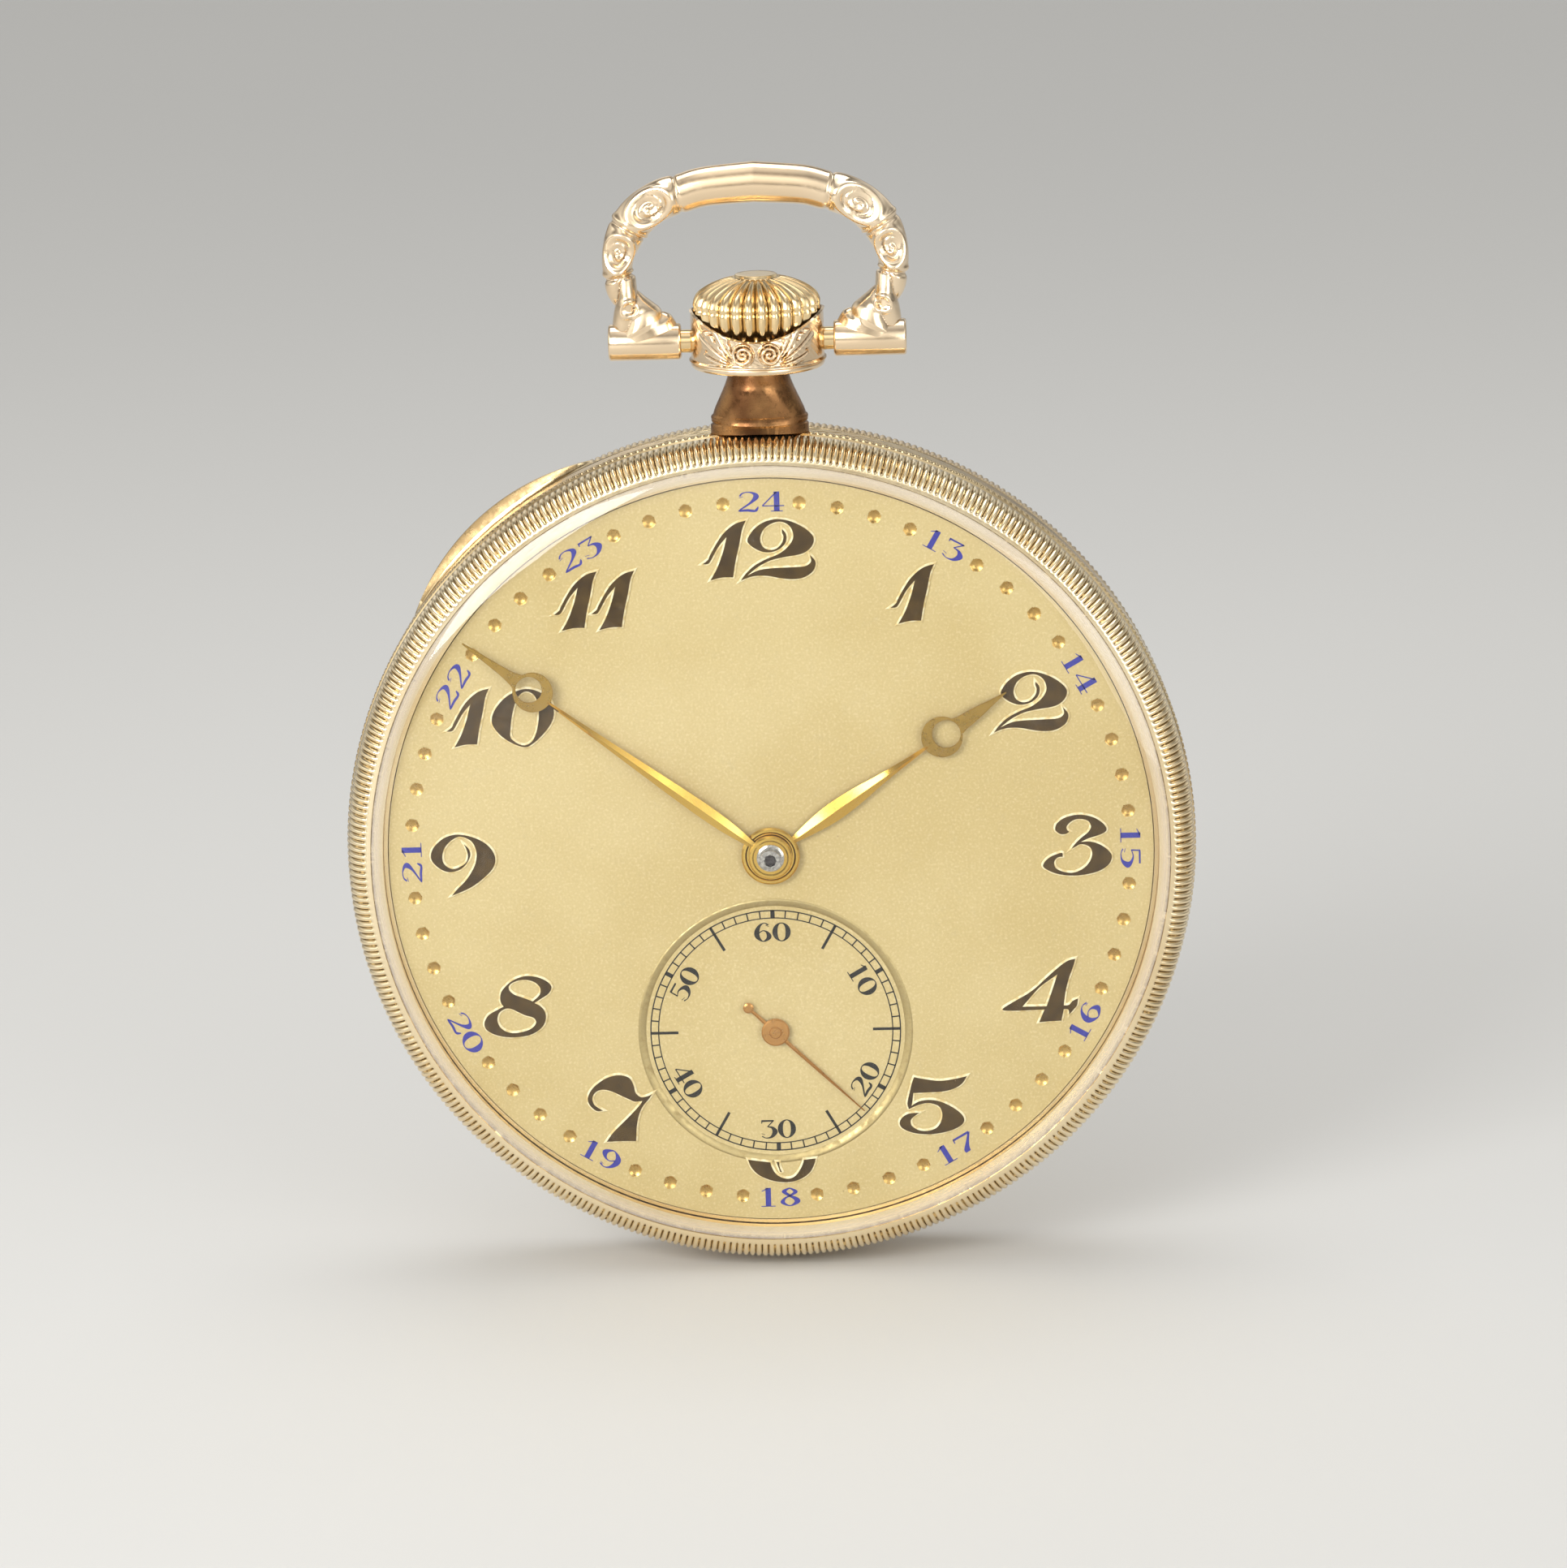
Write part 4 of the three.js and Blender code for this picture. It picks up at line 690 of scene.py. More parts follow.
DUST_OUTLINE = [(0, 2.75), (22.6, 2.75), (22.6, 1.9), (22.95, 1.9), (22.95, 2.8), (22.75, 3.0), (0, 3.0)]
dust = turned("dust_cover_fine", dense(DUST_OUTLINE, COARSE_STEP), 360, dust_relief)
hinge_cleared(dust)
dust = joined("dust_cover_fine", [dust, hinge_knuckle("dust_knuckle", 0)])
finished(dust, "dust_cover", MAT["polished"], ["dust_cover"], edge=40)

# ---------------------------------------------------------------- dial, numerals and tracks

HOUR_RING = 16.9
MINUTE_RING = 20.35
DIMPLE_R = 0.385
DIAL_BORE = 1.02
RECESS_R = 7.65
RECESS_DEPTH = 0.12
NUMERAL_HEIGHT = 0.16
NUMERAL_SLOPE = 0.1
INK_LIFT = 0.012
SUB_Z = SUBDIAL[2]


def outline(text, per_span=4):
    """Closed outline from 'x,z' pairs; a trailing c marks a corner, the others are joined smoothly."""
    entries = text.split()
    points = [tuple(float(v) for v in e.rstrip("c").split(",")) for e in entries]
    corners = [i for i, e in enumerate(entries) if e.endswith("c")]
    if not corners:
        return smoothed(points, per_span, closed=True)
    out = []
    for k, start in enumerate(corners):
        stop = corners[(k + 1) % len(corners)]
        if stop <= start:
            stop += len(points)
        run = [points[i % len(points)] for i in range(start, stop + 1)]
        out.extend(smoothed(run, per_span)[:-1] if len(run) > 2 else run[:-1])
    return np.array(out)


ONE = ("1.12,1.97c 0.9,1.45 0.72,0.6 0.5,-0.3 0.33,-1.25c -0.3,-1.25 -0.95,-1.4c -0.55,-0.7 -0.2,0.2 "
       "0.02,1.05c -0.45,0.5 -0.85,-0.2 -1.05,-0.45 -1.37,-0.47c -1.05,-0.22 -0.95,0 -0.55,0.7 -0.2,1.2 "
       "0.25,1.62 0.65,1.85")
TWO = ("0.48,1.3c 0.68,1.05 0.72,0.75 0.6,0.42 0.3,0.15 -0.1,0 -0.55,0 -1,0.18 -1.35,0.45 -1.47,0.7 "
       "-1.3,1.05 -1,1.4 -0.5,1.72 0.2,1.87 0.9,1.75 1.6,1.42 2.1,1 2.25,0.65 2.1,0.25 1.75,-0.05 1.3,-0.2 "
       "0.6,-0.3 -0.2,-0.48 -0.9,-0.83 -1.5,-1.3c -0.9,-1.03 -0.2,-0.93 0.8,-0.9 1.7,-0.85 2.05,-0.6 "
       "2,-0.22c 2.25,-0.5 2.3,-0.8 2.1,-1.2 1.6,-1.5 1,-1.58 0.3,-1.5 -0.4,-1.36 -1.1,-1.35 -1.6,-1.48 "
       "-1.9,-1.6c -1.6,-1.2 -1.1,-0.75 -0.4,-0.38 0.2,-0.15 0.7,0.2 1.02,0.6 1.1,0.95 0.98,1.35 0.7,1.62 "
       "0.35,1.72 -0.1,1.62 -0.5,1.35 -0.7,1 -0.75,0.65 -0.6,0.3 -0.25,0.12 0.15,0.2 0.45,0.5 0.55,0.85 "
       "0.48,1.1")
THREE = ("0,1c -0.2,0.88 -0.5,0.87 -0.75,1.05 -0.8,1.2 -0.7,1.5 -0.3,1.8 0.3,1.97 0.9,1.95 1.5,1.75 "
         "1.95,1.4 2.1,1.1 1.95,0.9 1.5,0.72 1.1,0.6 0.65,0.4c 1.2,0.4 1.75,0.2 2.2,-0.15 2.38,-0.5 "
         "2.2,-0.95 1.7,-1.3 1,-1.5 0.2,-1.57 -0.6,-1.48 -1.2,-1.25 -1.52,-0.98 -1.35,-0.65 -1,-0.4 "
         "-0.45,-0.22 -0.4,-0.45c -0.7,-0.5 -0.88,-0.75 -0.8,-1.1 -0.4,-1.32 0.15,-1.4 0.7,-1.2 1.1,-0.8 "
         "1.27,-0.35 1.2,0 0.95,0.2 0.6,0.25 0.3,0.1 0.1,0c 0.3,0.28 0.65,0.62 1.05,0.95 1.22,1.25 "
         "1.12,1.55 0.85,1.7 0.4,1.72 0.05,1.55 -0.15,1.3 -0.12,1.1")
FOUR = ("-1.68,-0.88 -1,-0.45 0,0.15 1,1.05 1.7,1.65 2.1,1.9 2.5,2c 2.35,1.5 2.1,0.8 1.9,0 1.8,-0.75c "
        "2.1,-0.72 2.3,-0.5 2.62,-0.35c 2.55,-0.75 2.4,-0.95 2.1,-1.3c 2.05,-1 1.8,-0.97c 1.75,-1.2 "
        "1.65,-1.65c 0.9,-1.68 0.38,-1.72c 0.6,-1.2 0.7,-0.97c -0.3,-1 -1.4,-1")
FOUR_HOLE = "1.45,1.08c 1.2,0.3 0.82,-0.78c -0.55,-0.78c -0.1,-0.25 0.5,0.4"
FIVE = ("-0.62,1.35c 0,1.22 0.8,1.1 1.6,1.18 2.4,1.35c 2.1,0.9 1.6,0.6 0.9,0.45 0,0.42 -0.68,0.4c "
        "-0.75,-0.15 -0.8,-0.35c -0.35,-0.1 0.2,-0.02 0.8,-0.12 1.4,-0.4 1.95,-0.8 2.2,-1.2 2.05,-1.55 "
        "1.5,-1.85 0.8,-2.02 0.1,-2.08 -0.7,-1.98 -1.3,-1.72 -1.5,-1.4 -1.35,-1.05 -0.95,-0.82 "
        "-0.35,-0.78c -0.6,-0.95 -0.85,-1.2 -0.8,-1.55 -0.4,-1.82 0.1,-1.87 0.6,-1.7 0.88,-1.3 0.95,-0.85 "
        "0.8,-0.45 0.4,-0.25 0,-0.22 -0.5,-0.35 -0.95,-0.55c -1.03,-0.2 -0.9,0.4 -0.75,1")
SIX = ("-1.78,-1.13c -0.5,-1.32c -0.45,-1.55 -0.25,-1.95 0.05,-2.2 0.45,-2.32 0.85,-2.2 1.15,-1.85 "
       "1.35,-1.45 1.42,-1.2c 2.1,-1.13c 2,-1.5 1.75,-1.95 1.3,-2.3 0.7,-2.5 0,-2.5 -0.6,-2.35 -1.2,-2.05 "
       "-1.6,-1.6")
SIX_CURL = "-0.16,-1.3c 0,-1.3c 0.02,-1.6 0.14,-1.9c 0.05,-1.9 -0.06,-1.6"
SEVEN = ("1.3,0.65c 1.05,0.3 0.75,-0.05 0.5,-0.6 0.35,-1.3 0.3,-2 0.28,-2.15c -0.5,-2.13 -1.4,-2.15c "
         "-1,-1.6 -0.4,-1 0.2,-0.4 0.6,0.05 0.72,0.25c 0.3,0.22 0,0.35 -0.5,0.6 -1,0.85 -1.5,0.97 "
         "-1.9,0.85 -2.13,0.5 -2.05,0.1 -1.8,-0.12 -1.55,-0.28c -1.9,-0.3 -2.25,0 -2.4,0.4 -2.25,0.85 "
         "-1.9,1.25 -1.3,1.65 -0.6,1.82 0,1.65 0.25,1.2 0.35,0.75 0.65,0.48 1,0.52")
EIGHT = ("0.95,0.02c 1.3,0.25 1.75,0.55 1.95,0.9 1.8,1.2 1.3,1.5 0.6,1.63 0,1.5 -0.5,1.2 -0.9,0.75 "
         "-1,0.35 -0.95,0.05 -0.82,-0.15c -1.2,-0.35 -1.7,-0.65 -1.95,-1.1 -1.85,-1.5 -1.4,-1.8 "
         "-0.7,-1.97 0.1,-1.97 0.8,-1.8 1.35,-1.4 1.57,-0.9 1.5,-0.45 1.25,-0.15")
EIGHT_TOP = ("0.85,0.12c 0.3,0.35 -0.2,0.55 -0.48,0.85 -0.4,1.15 0,1.35 0.5,1.4 1,1.25 1.3,0.9 1.25,0.5")
EIGHT_LOW = ("-0.75,-0.3 -1.1,-0.55 -1.2,-1 -1,-1.45 -0.5,-1.72 0.1,-1.7 0.7,-1.5 1,-1.15 0.85,-0.85 "
             "0.4,-0.7 0,-0.5 -0.4,-0.3")
NINE = ("-0.45,1c -0.2,0.75 -0.1,0.4 -0.25,0 -0.6,-0.4 -1.1,-0.6 -1.6,-0.55 -2.1,-0.2 -2.35,0.25 "
        "-2.2,0.8 -1.7,1.3 -1.1,1.55 -0.5,1.55 0.2,1.35 0.8,1 1.2,0.5 1.3,0 1.1,-0.5 0.6,-1 0,-1.45 "
        "-0.6,-1.75 -1.25,-2c -0.9,-1.6 -0.4,-1.1 0,-0.5 0.2,0 0.25,0.5 0.1,1 -0.2,1.3 -0.7,1.45 -1.2,1.2 "
        "-1.55,0.8 -1.7,0.3 -1.6,-0.15 -1.2,-0.42 -0.8,-0.35 -0.4,-0.1 -0.25,0.25 -0.3,0.65")
NOUGHT = ("0.9,-1.87 0.2,-1.6 -0.4,-1.15 -0.8,-0.6 -0.85,-0.15 -0.65,0.35 -0.2,0.9 0.4,1.3 1.1,1.5 "
          "1.8,1.35 2.4,0.9 2.65,0.3 2.6,-0.25 2.3,-0.8 1.8,-1.35 1.3,-1.75")
NOUGHT_HOLE = ("0.8,-1.75 0.2,-1.35 0.18,-0.8 0.3,0 0.5,0.7 0.8,1.2 1.2,1.35 1.6,1.1 1.8,0.5 1.78,-0.3 "
               "1.6,-1.1 1.3,-1.6")

# hour: list of (outline, holes, offset in millimetres)
NUMERALS = {
    1: [(ONE, (), (0, 0))], 2: [(TWO, (), (0, 0))], 3: [(THREE, (), (0, 0))],
    4: [(FOUR, (FOUR_HOLE,), (0, 0))], 5: [(FIVE, (), (0, 0))],
    6: [(SIX, (), (0, 0)), (SIX_CURL, (), (0, 0))], 7: [(SEVEN, (), (0, 0))],
    8: [(EIGHT, (EIGHT_TOP, EIGHT_LOW), (0, 0))], 9: [(NINE, (), (0, 0))],
    10: [(ONE, (), (-2.07, -0.4)), (NOUGHT, (NOUGHT_HOLE,), (0, 0))],
    11: [(ONE, (), (-1.97, 0)), (ONE, (), (0.13, 0))],
    12: [(ONE, (), (-2.0, 0.45)), (TWO, (), (0.65, 0.6))],
}


def filled(name, loops, middle, half, slope=0.0):
    """Plate reaching half each way from a height, from outlines facing the front, with sloping edges."""
    curve = bpy.data.curves.new(name, "CURVE")
    curve.dimensions = "2D"
    curve.fill_mode = "BOTH"
    curve.extrude = (half - slope) * MM
    if slope:
        curve.bevel_depth = slope * MM
        curve.bevel_resolution = 0
    for loop in loops:
        spline = curve.splines.new("POLY")
        spline.points.add(len(loop) - 1)
        for point, (x, z) in zip(spline.points, loop):
            point.co = (x * MM, z * MM, 0, 1)
        spline.use_cyclic_u = True
    carrier = linked(name, curve)
    bpy.context.view_layer.update()
    evaluated = carrier.evaluated_get(bpy.context.evaluated_depsgraph_get())
    mesh = bpy.data.meshes.new_from_object(evaluated)
    obj = linked(name, mesh)
    bpy.data.objects.remove(carrier)
    bpy.data.curves.remove(curve)
    turn = Matrix.Rotation(math.radians(90), 4, "X")
    mesh.transform(Matrix.Translation(Vector((0, middle + SHIFT[1], 0)) * MM) @ turn)
    mesh.update()
    return obj


pieces = []
for hour, parts in NUMERALS.items():
    turn = math.radians(30 * hour)
    centre = np.array([HOUR_RING * math.sin(turn), HOUR_RING * math.cos(turn)])
    for body, holes, offset in parts:
        loops = [outline(item) + np.array(offset) + centre for item in (body, *holes)]
        pieces.append(filled(f"numeral_{hour}", loops, DIAL_Y, NUMERAL_HEIGHT, NUMERAL_SLOPE))
numerals = joined("applied_numerals", pieces)
shaded(numerals.data, False)
# Flat fronts get the painted dark reflection, sloped sides the painted highlight.
for polygon in numerals.data.polygons:
    flat_front = polygon.normal.y < -0.95
    polygon.material_index = 0 if flat_front else 1
finished(numerals, "case", [MAT["numeral_face"], MAT["numeral_edge"]], edge=0)


# Digits as pen strokes one unit high: each stroke is a list of (x, z, width).
DIGITS = {
    "1": [[(0.3, 0.02, 0.15), (0.3, 0.98, 0.15)], [(0.3, 0.97, 0.05), (0.12, 0.8, 0.03)],
          [(0.1, 0.02, 0.04), (0.5, 0.02, 0.04)]],
    "2": [[(0.12, 0.74, 0.13), (0.13, 0.72, 0.13)],
          [(0.09, 0.78, 0.05), (0.16, 0.92, 0.05), (0.32, 0.98, 0.05), (0.5, 0.88, 0.12), (0.52, 0.7, 0.15),
           (0.38, 0.45, 0.08), (0.1, 0.12, 0.05), (0.06, 0.03, 0.04)],
          [(0.08, 0.06, 0.09), (0.3, 0.08, 0.12), (0.5, 0.05, 0.1), (0.58, 0.25, 0.03)]],
    "3": [[(0.08, 0.93, 0.09), (0.5, 0.94, 0.07)], [(0.08, 0.97, 0.03), (0.08, 0.8, 0.03)],
          [(0.5, 0.96, 0.04), (0.28, 0.62, 0.04)],
          [(0.28, 0.62, 0.04), (0.45, 0.57, 0.1), (0.54, 0.35, 0.17), (0.42, 0.08, 0.1), (0.22, 0.02, 0.04),
           (0.08, 0.12, 0.05)], [(0.12, 0.22, 0.13), (0.13, 0.24, 0.13)]],
    "4": [[(0.42, 0.02, 0.15), (0.42, 0.98, 0.15)], [(0.42, 0.97, 0.04), (0.04, 0.3, 0.04)],
          [(0.03, 0.28, 0.05), (0.62, 0.28, 0.05)], [(0.26, 0.02, 0.04), (0.58, 0.02, 0.04)]],
    "5": [[(0.14, 0.94, 0.09), (0.5, 0.94, 0.08)], [(0.13, 0.97, 0.04), (0.12, 0.52, 0.04)],
          [(0.12, 0.54, 0.03), (0.3, 0.62, 0.06), (0.48, 0.5, 0.13), (0.53, 0.32, 0.17), (0.42, 0.08, 0.1),
           (0.22, 0.02, 0.04), (0.08, 0.12, 0.05)], [(0.12, 0.2, 0.13), (0.13, 0.22, 0.13)]],
    "6": [[(0.5, 0.88, 0.07), (0.36, 0.98, 0.04), (0.2, 0.85, 0.09), (0.1, 0.55, 0.16), (0.12, 0.25, 0.15),
           (0.3, 0.02, 0.05), (0.48, 0.15, 0.13), (0.52, 0.32, 0.15), (0.44, 0.52, 0.08), (0.3, 0.58, 0.04),
           (0.16, 0.45, 0.05)], [(0.46, 0.82, 0.11), (0.47, 0.84, 0.11)]],
    "7": [[(0.06, 0.92, 0.1), (0.55, 0.92, 0.12)], [(0.07, 0.97, 0.03), (0.06, 0.74, 0.03)],
          [(0.56, 0.92, 0.06), (0.38, 0.5, 0.1), (0.27, 0.2, 0.17), (0.27, 0.04, 0.15)]],
    "8": [[(0.3, 0.96, 0.05), (0.14, 0.78, 0.13), (0.3, 0.55, 0.1), (0.46, 0.4, 0.15), (0.5, 0.22, 0.15),
           (0.3, 0.03, 0.05), (0.1, 0.2, 0.12), (0.16, 0.42, 0.07), (0.3, 0.55, 0.07), (0.46, 0.76, 0.12),
           (0.3, 0.96, 0.05)]],
}
DIGIT_ADVANCE = {"1": 0.6, "7": 0.66}


def digit_strokes(digit):
    """Strokes of one digit; nought is an ellipse with thick sides and nine is a turned six."""
    if digit == "0":
        turns = np.linspace(0, TAU, 25)
        return [[(0.3 + 0.23 * math.cos(t), 0.5 + 0.47 * math.sin(t), 0.045 + 0.12 * math.cos(t) ** 2)
                 for t in turns]]
    if digit == "9":
        return [[(0.6 - x, 1 - z, w) for x, z, w in stroke] for stroke in DIGITS["6"]]
    return DIGITS[digit]


def ribbon(stroke, weight=1.0, per_span=5):
    """Outline of a stroke of changing width."""
    path = smoothed(stroke, per_span) if len(stroke) > 2 else np.array(stroke, float)
    path[:, 2] *= weight
    if np.linalg.norm(path[-1, :2] - path[0, :2]) < 0.02 and len(stroke) == 2:
        turns = np.linspace(0, TAU, 16, endpoint=False)
        return path[0, :2] + path[0, 2] / 2 * np.stack([np.cos(turns), np.sin(turns)], 1)
    run = np.gradient(path[:, :2], axis=0)
    run /= np.linalg.norm(run, axis=1, keepdims=True)
    side = np.stack([-run[:, 1], run[:, 0]], 1) * path[:, 2:3] / 2
    return np.concatenate([path[:, :2] + side, (path[:, :2] - side)[::-1]])


def strips(name, ribbons, front, back):
    """Thin printed shapes: each ribbon has matching left and right edges, so it is a strip of quads."""
    verts, faces = [], []
    for loop in ribbons:
        n = len(loop)
        half = n // 2
        base = len(verts)
        verts += [(x, front, z) for x, z in loop] + [(x, back, z) for x, z in loop]
        for i in range(half - 1):
            a, b, c, d = i, i + 1, n - 2 - i, n - 1 - i
            faces.append([base + a, base + b, base + c, base + d])
            faces.append([base + n + d, base + n + c, base + n + b, base + n + a])
        for i in range(n):
            j = (i + 1) % n
            faces.append([base + i, base + n + i, base + n + j, base + j])
    return outward(link_mesh(name, verts, faces, smooth=False))


def printed_number(text, height, radius, degrees, inward=False, weight=1.0, squeeze=1.0, centre_z=0.0):
    """Ribbons of a number centred at a radius and clock angle, its top facing out or in."""
    widths = [DIGIT_ADVANCE.get(c, 0.66) for c in text]
    start = -sum(widths) / 2
    turn = math.radians(degrees)
    tilt = turn + math.pi if inward else turn
    out = []
    for c, width in zip(text, widths):
        for stroke in digit_strokes(c):
            loop = ribbon(stroke, weight)
            x = (start + loop[:, 0]) * height * squeeze
            z = (loop[:, 1] - 0.5) * height
            px = radius * math.sin(turn) + x * math.cos(tilt) + z * math.sin(tilt)
            pz = centre_z + radius * math.cos(turn) - x * math.sin(tilt) + z * math.cos(tilt)
            out.append(np.stack([px, pz], 1))
        start += width
    return out


def printed_ring(inner, outer, centre_z=0.0, steps=360):
    """A ring as two half ribbons."""
    out = []
    for a, b in ((0, math.pi), (math.pi, TAU)):
        t = np.linspace(a, b, steps // 2 + 1)
        rim = np.stack([outer * np.sin(t), centre_z + outer * np.cos(t)], 1)
        core = np.stack([inner * np.sin(t), centre_z + inner * np.cos(t)], 1)
        out.append(np.concatenate([rim, core[::-1]]))
    return out


def printed_line(degrees, inner, outer, width, centre_z=0.0):
    t = math.radians(degrees)
    along = np.array([math.sin(t), math.cos(t)])
    side = np.array([math.cos(t), -math.sin(t)]) * width / 2
    middle = np.array([0.0, centre_z])
    a, b = middle + along * inner, middle + along * outer
    return np.array([a + side, b + side, b - side, a - side])


blue = []
for hour in range(13, 25):
    blue += printed_number(str(hour), 1.15, MINUTE_RING, 30 * hour % 360, inward=16 <= hour <= 20,
                           squeeze=1.8)
blue_numbers = strips("afternoon_numbers", blue, DIAL_Y - INK_LIFT, DIAL_Y + 0.01)
finished(blue_numbers, "case", MAT["blue_ink"], edge=0)

FLOOR_Y = DIAL_Y + RECESS_DEPTH
TRACK_OUT, TRACK_IN = 7.12, 6.68
black = printed_ring(TRACK_OUT - 0.035, TRACK_OUT + 0.035, SUB_Z)
black += printed_ring(TRACK_IN - 0.03, TRACK_IN + 0.03, SUB_Z)
for second in range(60):
    angle = 6 * second
    if second % 10 == 0:
        black.append(printed_line(angle, TRACK_IN - 0.02, TRACK_OUT + 0.02, 0.24, SUB_Z))
    elif second % 10 == 5:
        black.append(printed_line(angle, 5.55, TRACK_OUT, 0.16, SUB_Z))
    else:
        black.append(printed_line(angle, TRACK_IN, TRACK_OUT, 0.075, SUB_Z))
for value in range(10, 61, 10):
    black += printed_number(str(value), 1.12, 5.85, 6 * value % 360, inward=20 <= value <= 40,
                            weight=1.1, squeeze=1.45, centre_z=SUB_Z)
black_track = strips("seconds_track", black, FLOOR_Y - INK_LIFT, FLOOR_Y + 0.01)
finished(black_track, "case", MAT["black_ink"], edge=0)


def dial_plate():
    """Dial as a fine grid of rings with turned dimples and the seconds recess pressed into it."""
    field, dimple_belt = np.linspace(DIAL_BORE, 19.7, 70), np.linspace(19.75, 21.0, 26)
    radii = np.concatenate([field, dimple_belt, [21.2, 21.45, DIAL_R]])
    steps = 1440
    angle = np.linspace(0, TAU, steps, endpoint=False)
    a, r = np.meshgrid(angle, radii, indexing="ij")
    x, z = r * np.sin(a), r * np.cos(a)
    y = np.full_like(x, DIAL_Y)
    from_sub = np.hypot(x, z - SUB_Z)
    y += RECESS_DEPTH * np.clip((RECESS_R - from_sub) / 0.12, 0, 1)
    nearest = np.round(a / math.radians(6)) * math.radians(6)
    is_minute = np.round(a / math.radians(6)).astype(int) % 5 != 0
    d = np.hypot(x - MINUTE_RING * np.sin(nearest), z - MINUTE_RING * np.cos(nearest))
    bowl = 0.12 * np.clip(1 - (d / DIMPLE_R) ** 2, 0, 1) - 0.02 * np.exp(-((d - DIMPLE_R) / 0.06) ** 2)
    y += np.where(is_minute, bowl, 0)
    n = len(radii)
    front = np.stack([x, y, z], -1).reshape(-1, 3)
    rim = [(DIAL_R, DIAL_HIGH[1]), (radii[0], DIAL_HIGH[1])]
    back = np.array([(rr * math.sin(t), yy, rr * math.cos(t)) for t in angle for rr, yy in rim])
    verts = np.concatenate([front, back])
    faces = []
    base = len(front)
    for i in range(steps):
        j = (i + 1) % steps
        for k in range(n - 1):
            faces.append([i * n + k, j * n + k, j * n + k + 1, i * n + k + 1])
        ia, ja = base + 2 * i, base + 2 * j
        faces.append([i * n + n - 1, j * n + n - 1, ja, ia])
        faces.append([ia, ja, ja + 1, ia + 1])
        faces.append([ia + 1, ja + 1, j * n, i * n])
    return outward(link_mesh("dial_fine", verts, faces))


dial = dial_plate()
finished(dial, "case", [MAT["dial"], MAT["dimple"]], ["dial"], edge=50)
for polygon in dial.data.polygons:
    x, y, z = np.array(polygon.center) / MM - SHIFT
    minute = round(math.degrees(math.atan2(x, z)) / 6)
    near = math.hypot(x - MINUTE_RING * math.sin(math.radians(6 * minute)),
                      z - MINUTE_RING * math.cos(math.radians(6 * minute)))
    if minute % 5 and near < DIMPLE_R and polygon.normal.y < 0:
        polygon.material_index = 1
recess_ring = turned("recess_ring", [(7.36, RECESS_DEPTH + 0.02), (7.4, RECESS_DEPTH - 0.02), (7.7, -0.035),
                                     (7.8, -0.035), (7.85, 0.02)], 240,
                     place=(0, DIAL_Y, SUB_Z), closed=True)
finished(recess_ring, "case", MAT["recess_edge"], edge=60)

# ---------------------------------------------------------------- hands


def ridged_hand(name, stations, low, high):
    """A blade along +z with a raised middle ridge, from (z, half width) stations."""
    verts = []
    shoulder = low + (high - low) * 0.7
    for z, half in stations:
        verts += [(-half, high, z), (-half, shoulder, z), (0, low, z), (half, shoulder, z), (half, high, z)]
    corners = len(verts) // len(stations)
    faces = grid_faces(len(stations), corners, wrap_columns=True)
    faces.append(list(range(corners)))
    faces.append([len(verts) - 1 - k for k in range(corners)])
    return outward(link_mesh(name, verts, faces, smooth=False))


def hub_profile(radius, bore, low, high):
    """Flat ring with a raised outer bead, from its bore round to its back."""
    return [(bore, high), (bore, low + 0.02), (bore + 0.04, low), (radius - 0.3, low),
            (radius - 0.22, low - 0.05), (radius - 0.1, low - 0.04), (radius, low + 0.05), (radius, high)]


def moon(name, z, radius, bore, offset, low, high, tip):
    """Flat ring whose bore sits towards the point, drawn out into a trumpet-shaped tip."""
    turns = np.linspace(0, TAU, 73)[:-1]
    hole = np.stack([bore * np.sin(turns), z + offset + bore * np.cos(turns)], 1)
    start = math.asin(min(1, tip[0][1] / radius))
    arc = np.linspace(start, TAU - start, 60)
    rim = np.stack([radius * np.sin(arc), z + radius * np.cos(arc)], 1)
    flank = smoothed([(w, zz) for zz, w in tip], 5)
    left = np.stack([-flank[1:, 0], flank[1:, 1]], 1)
    right = flank[1:][::-1]
    edge = np.concatenate([rim, left, right])
    return filled(name, [edge, hole], (low + high) / 2, (high - low) / 2, 0.02)


def tinted(obj, index):
    """Puts every face in one of the finished piece's material slots."""
    for _ in range(index + 1 - len(obj.data.materials)):
        obj.data.materials.append(None)
    for polygon in obj.data.polygons:
        polygon.material_index = index
    return obj


def ring_hand(name, body, turn, leaf, leaf_y, ring, ring_y, tip, hub, hub_y):
    """Hour or minute hand: a ridged leaf, a flat ring with its tip, and a beaded hub."""
    hand = joined(f"{name}_hand_fine", [
        ridged_hand(f"{name}_lower", rounded(leaf, 5), *leaf_y),
        tinted(moon(f"{name}_moon", *ring, *ring_y, tip), 1),
        turned(f"{name}_hub", hub_profile(*hub, *hub_y), 96, closed=True),
    ])
    moved(hand, clock_turn(turn))
    finished(hand, body, [MAT["hands"], MAT["moon"]], [f"{name}_hand"], edge=25)


MINUTE_ANGLE, HOUR_ANGLE, SECONDS_ANGLE = 307.0, 55.6, 134.0
HOUR_LEAF = [(1.3, 0.14), (2.0, 0.26), (3.0, 0.42), (4.3, 0.55), (5.8, 0.5), (7.6, 0.3), (9.4, 0.16),
             (10.9, 0.08)]
HOUR_TIP = [(12.93, 0.52), (13.3, 0.42), (13.9, 0.36), (14.6, 0.27), (15.5, 0.12), (16.3, 0.02)]
ring_hand("hour", "hour", HOUR_ANGLE, HOUR_LEAF, (-2.52, -2.3), (11.9, 1.15, 0.82, 0.3), (-2.45, -2.32),
          HOUR_TIP, (1.65, 0.92), (-2.48, -2.3))

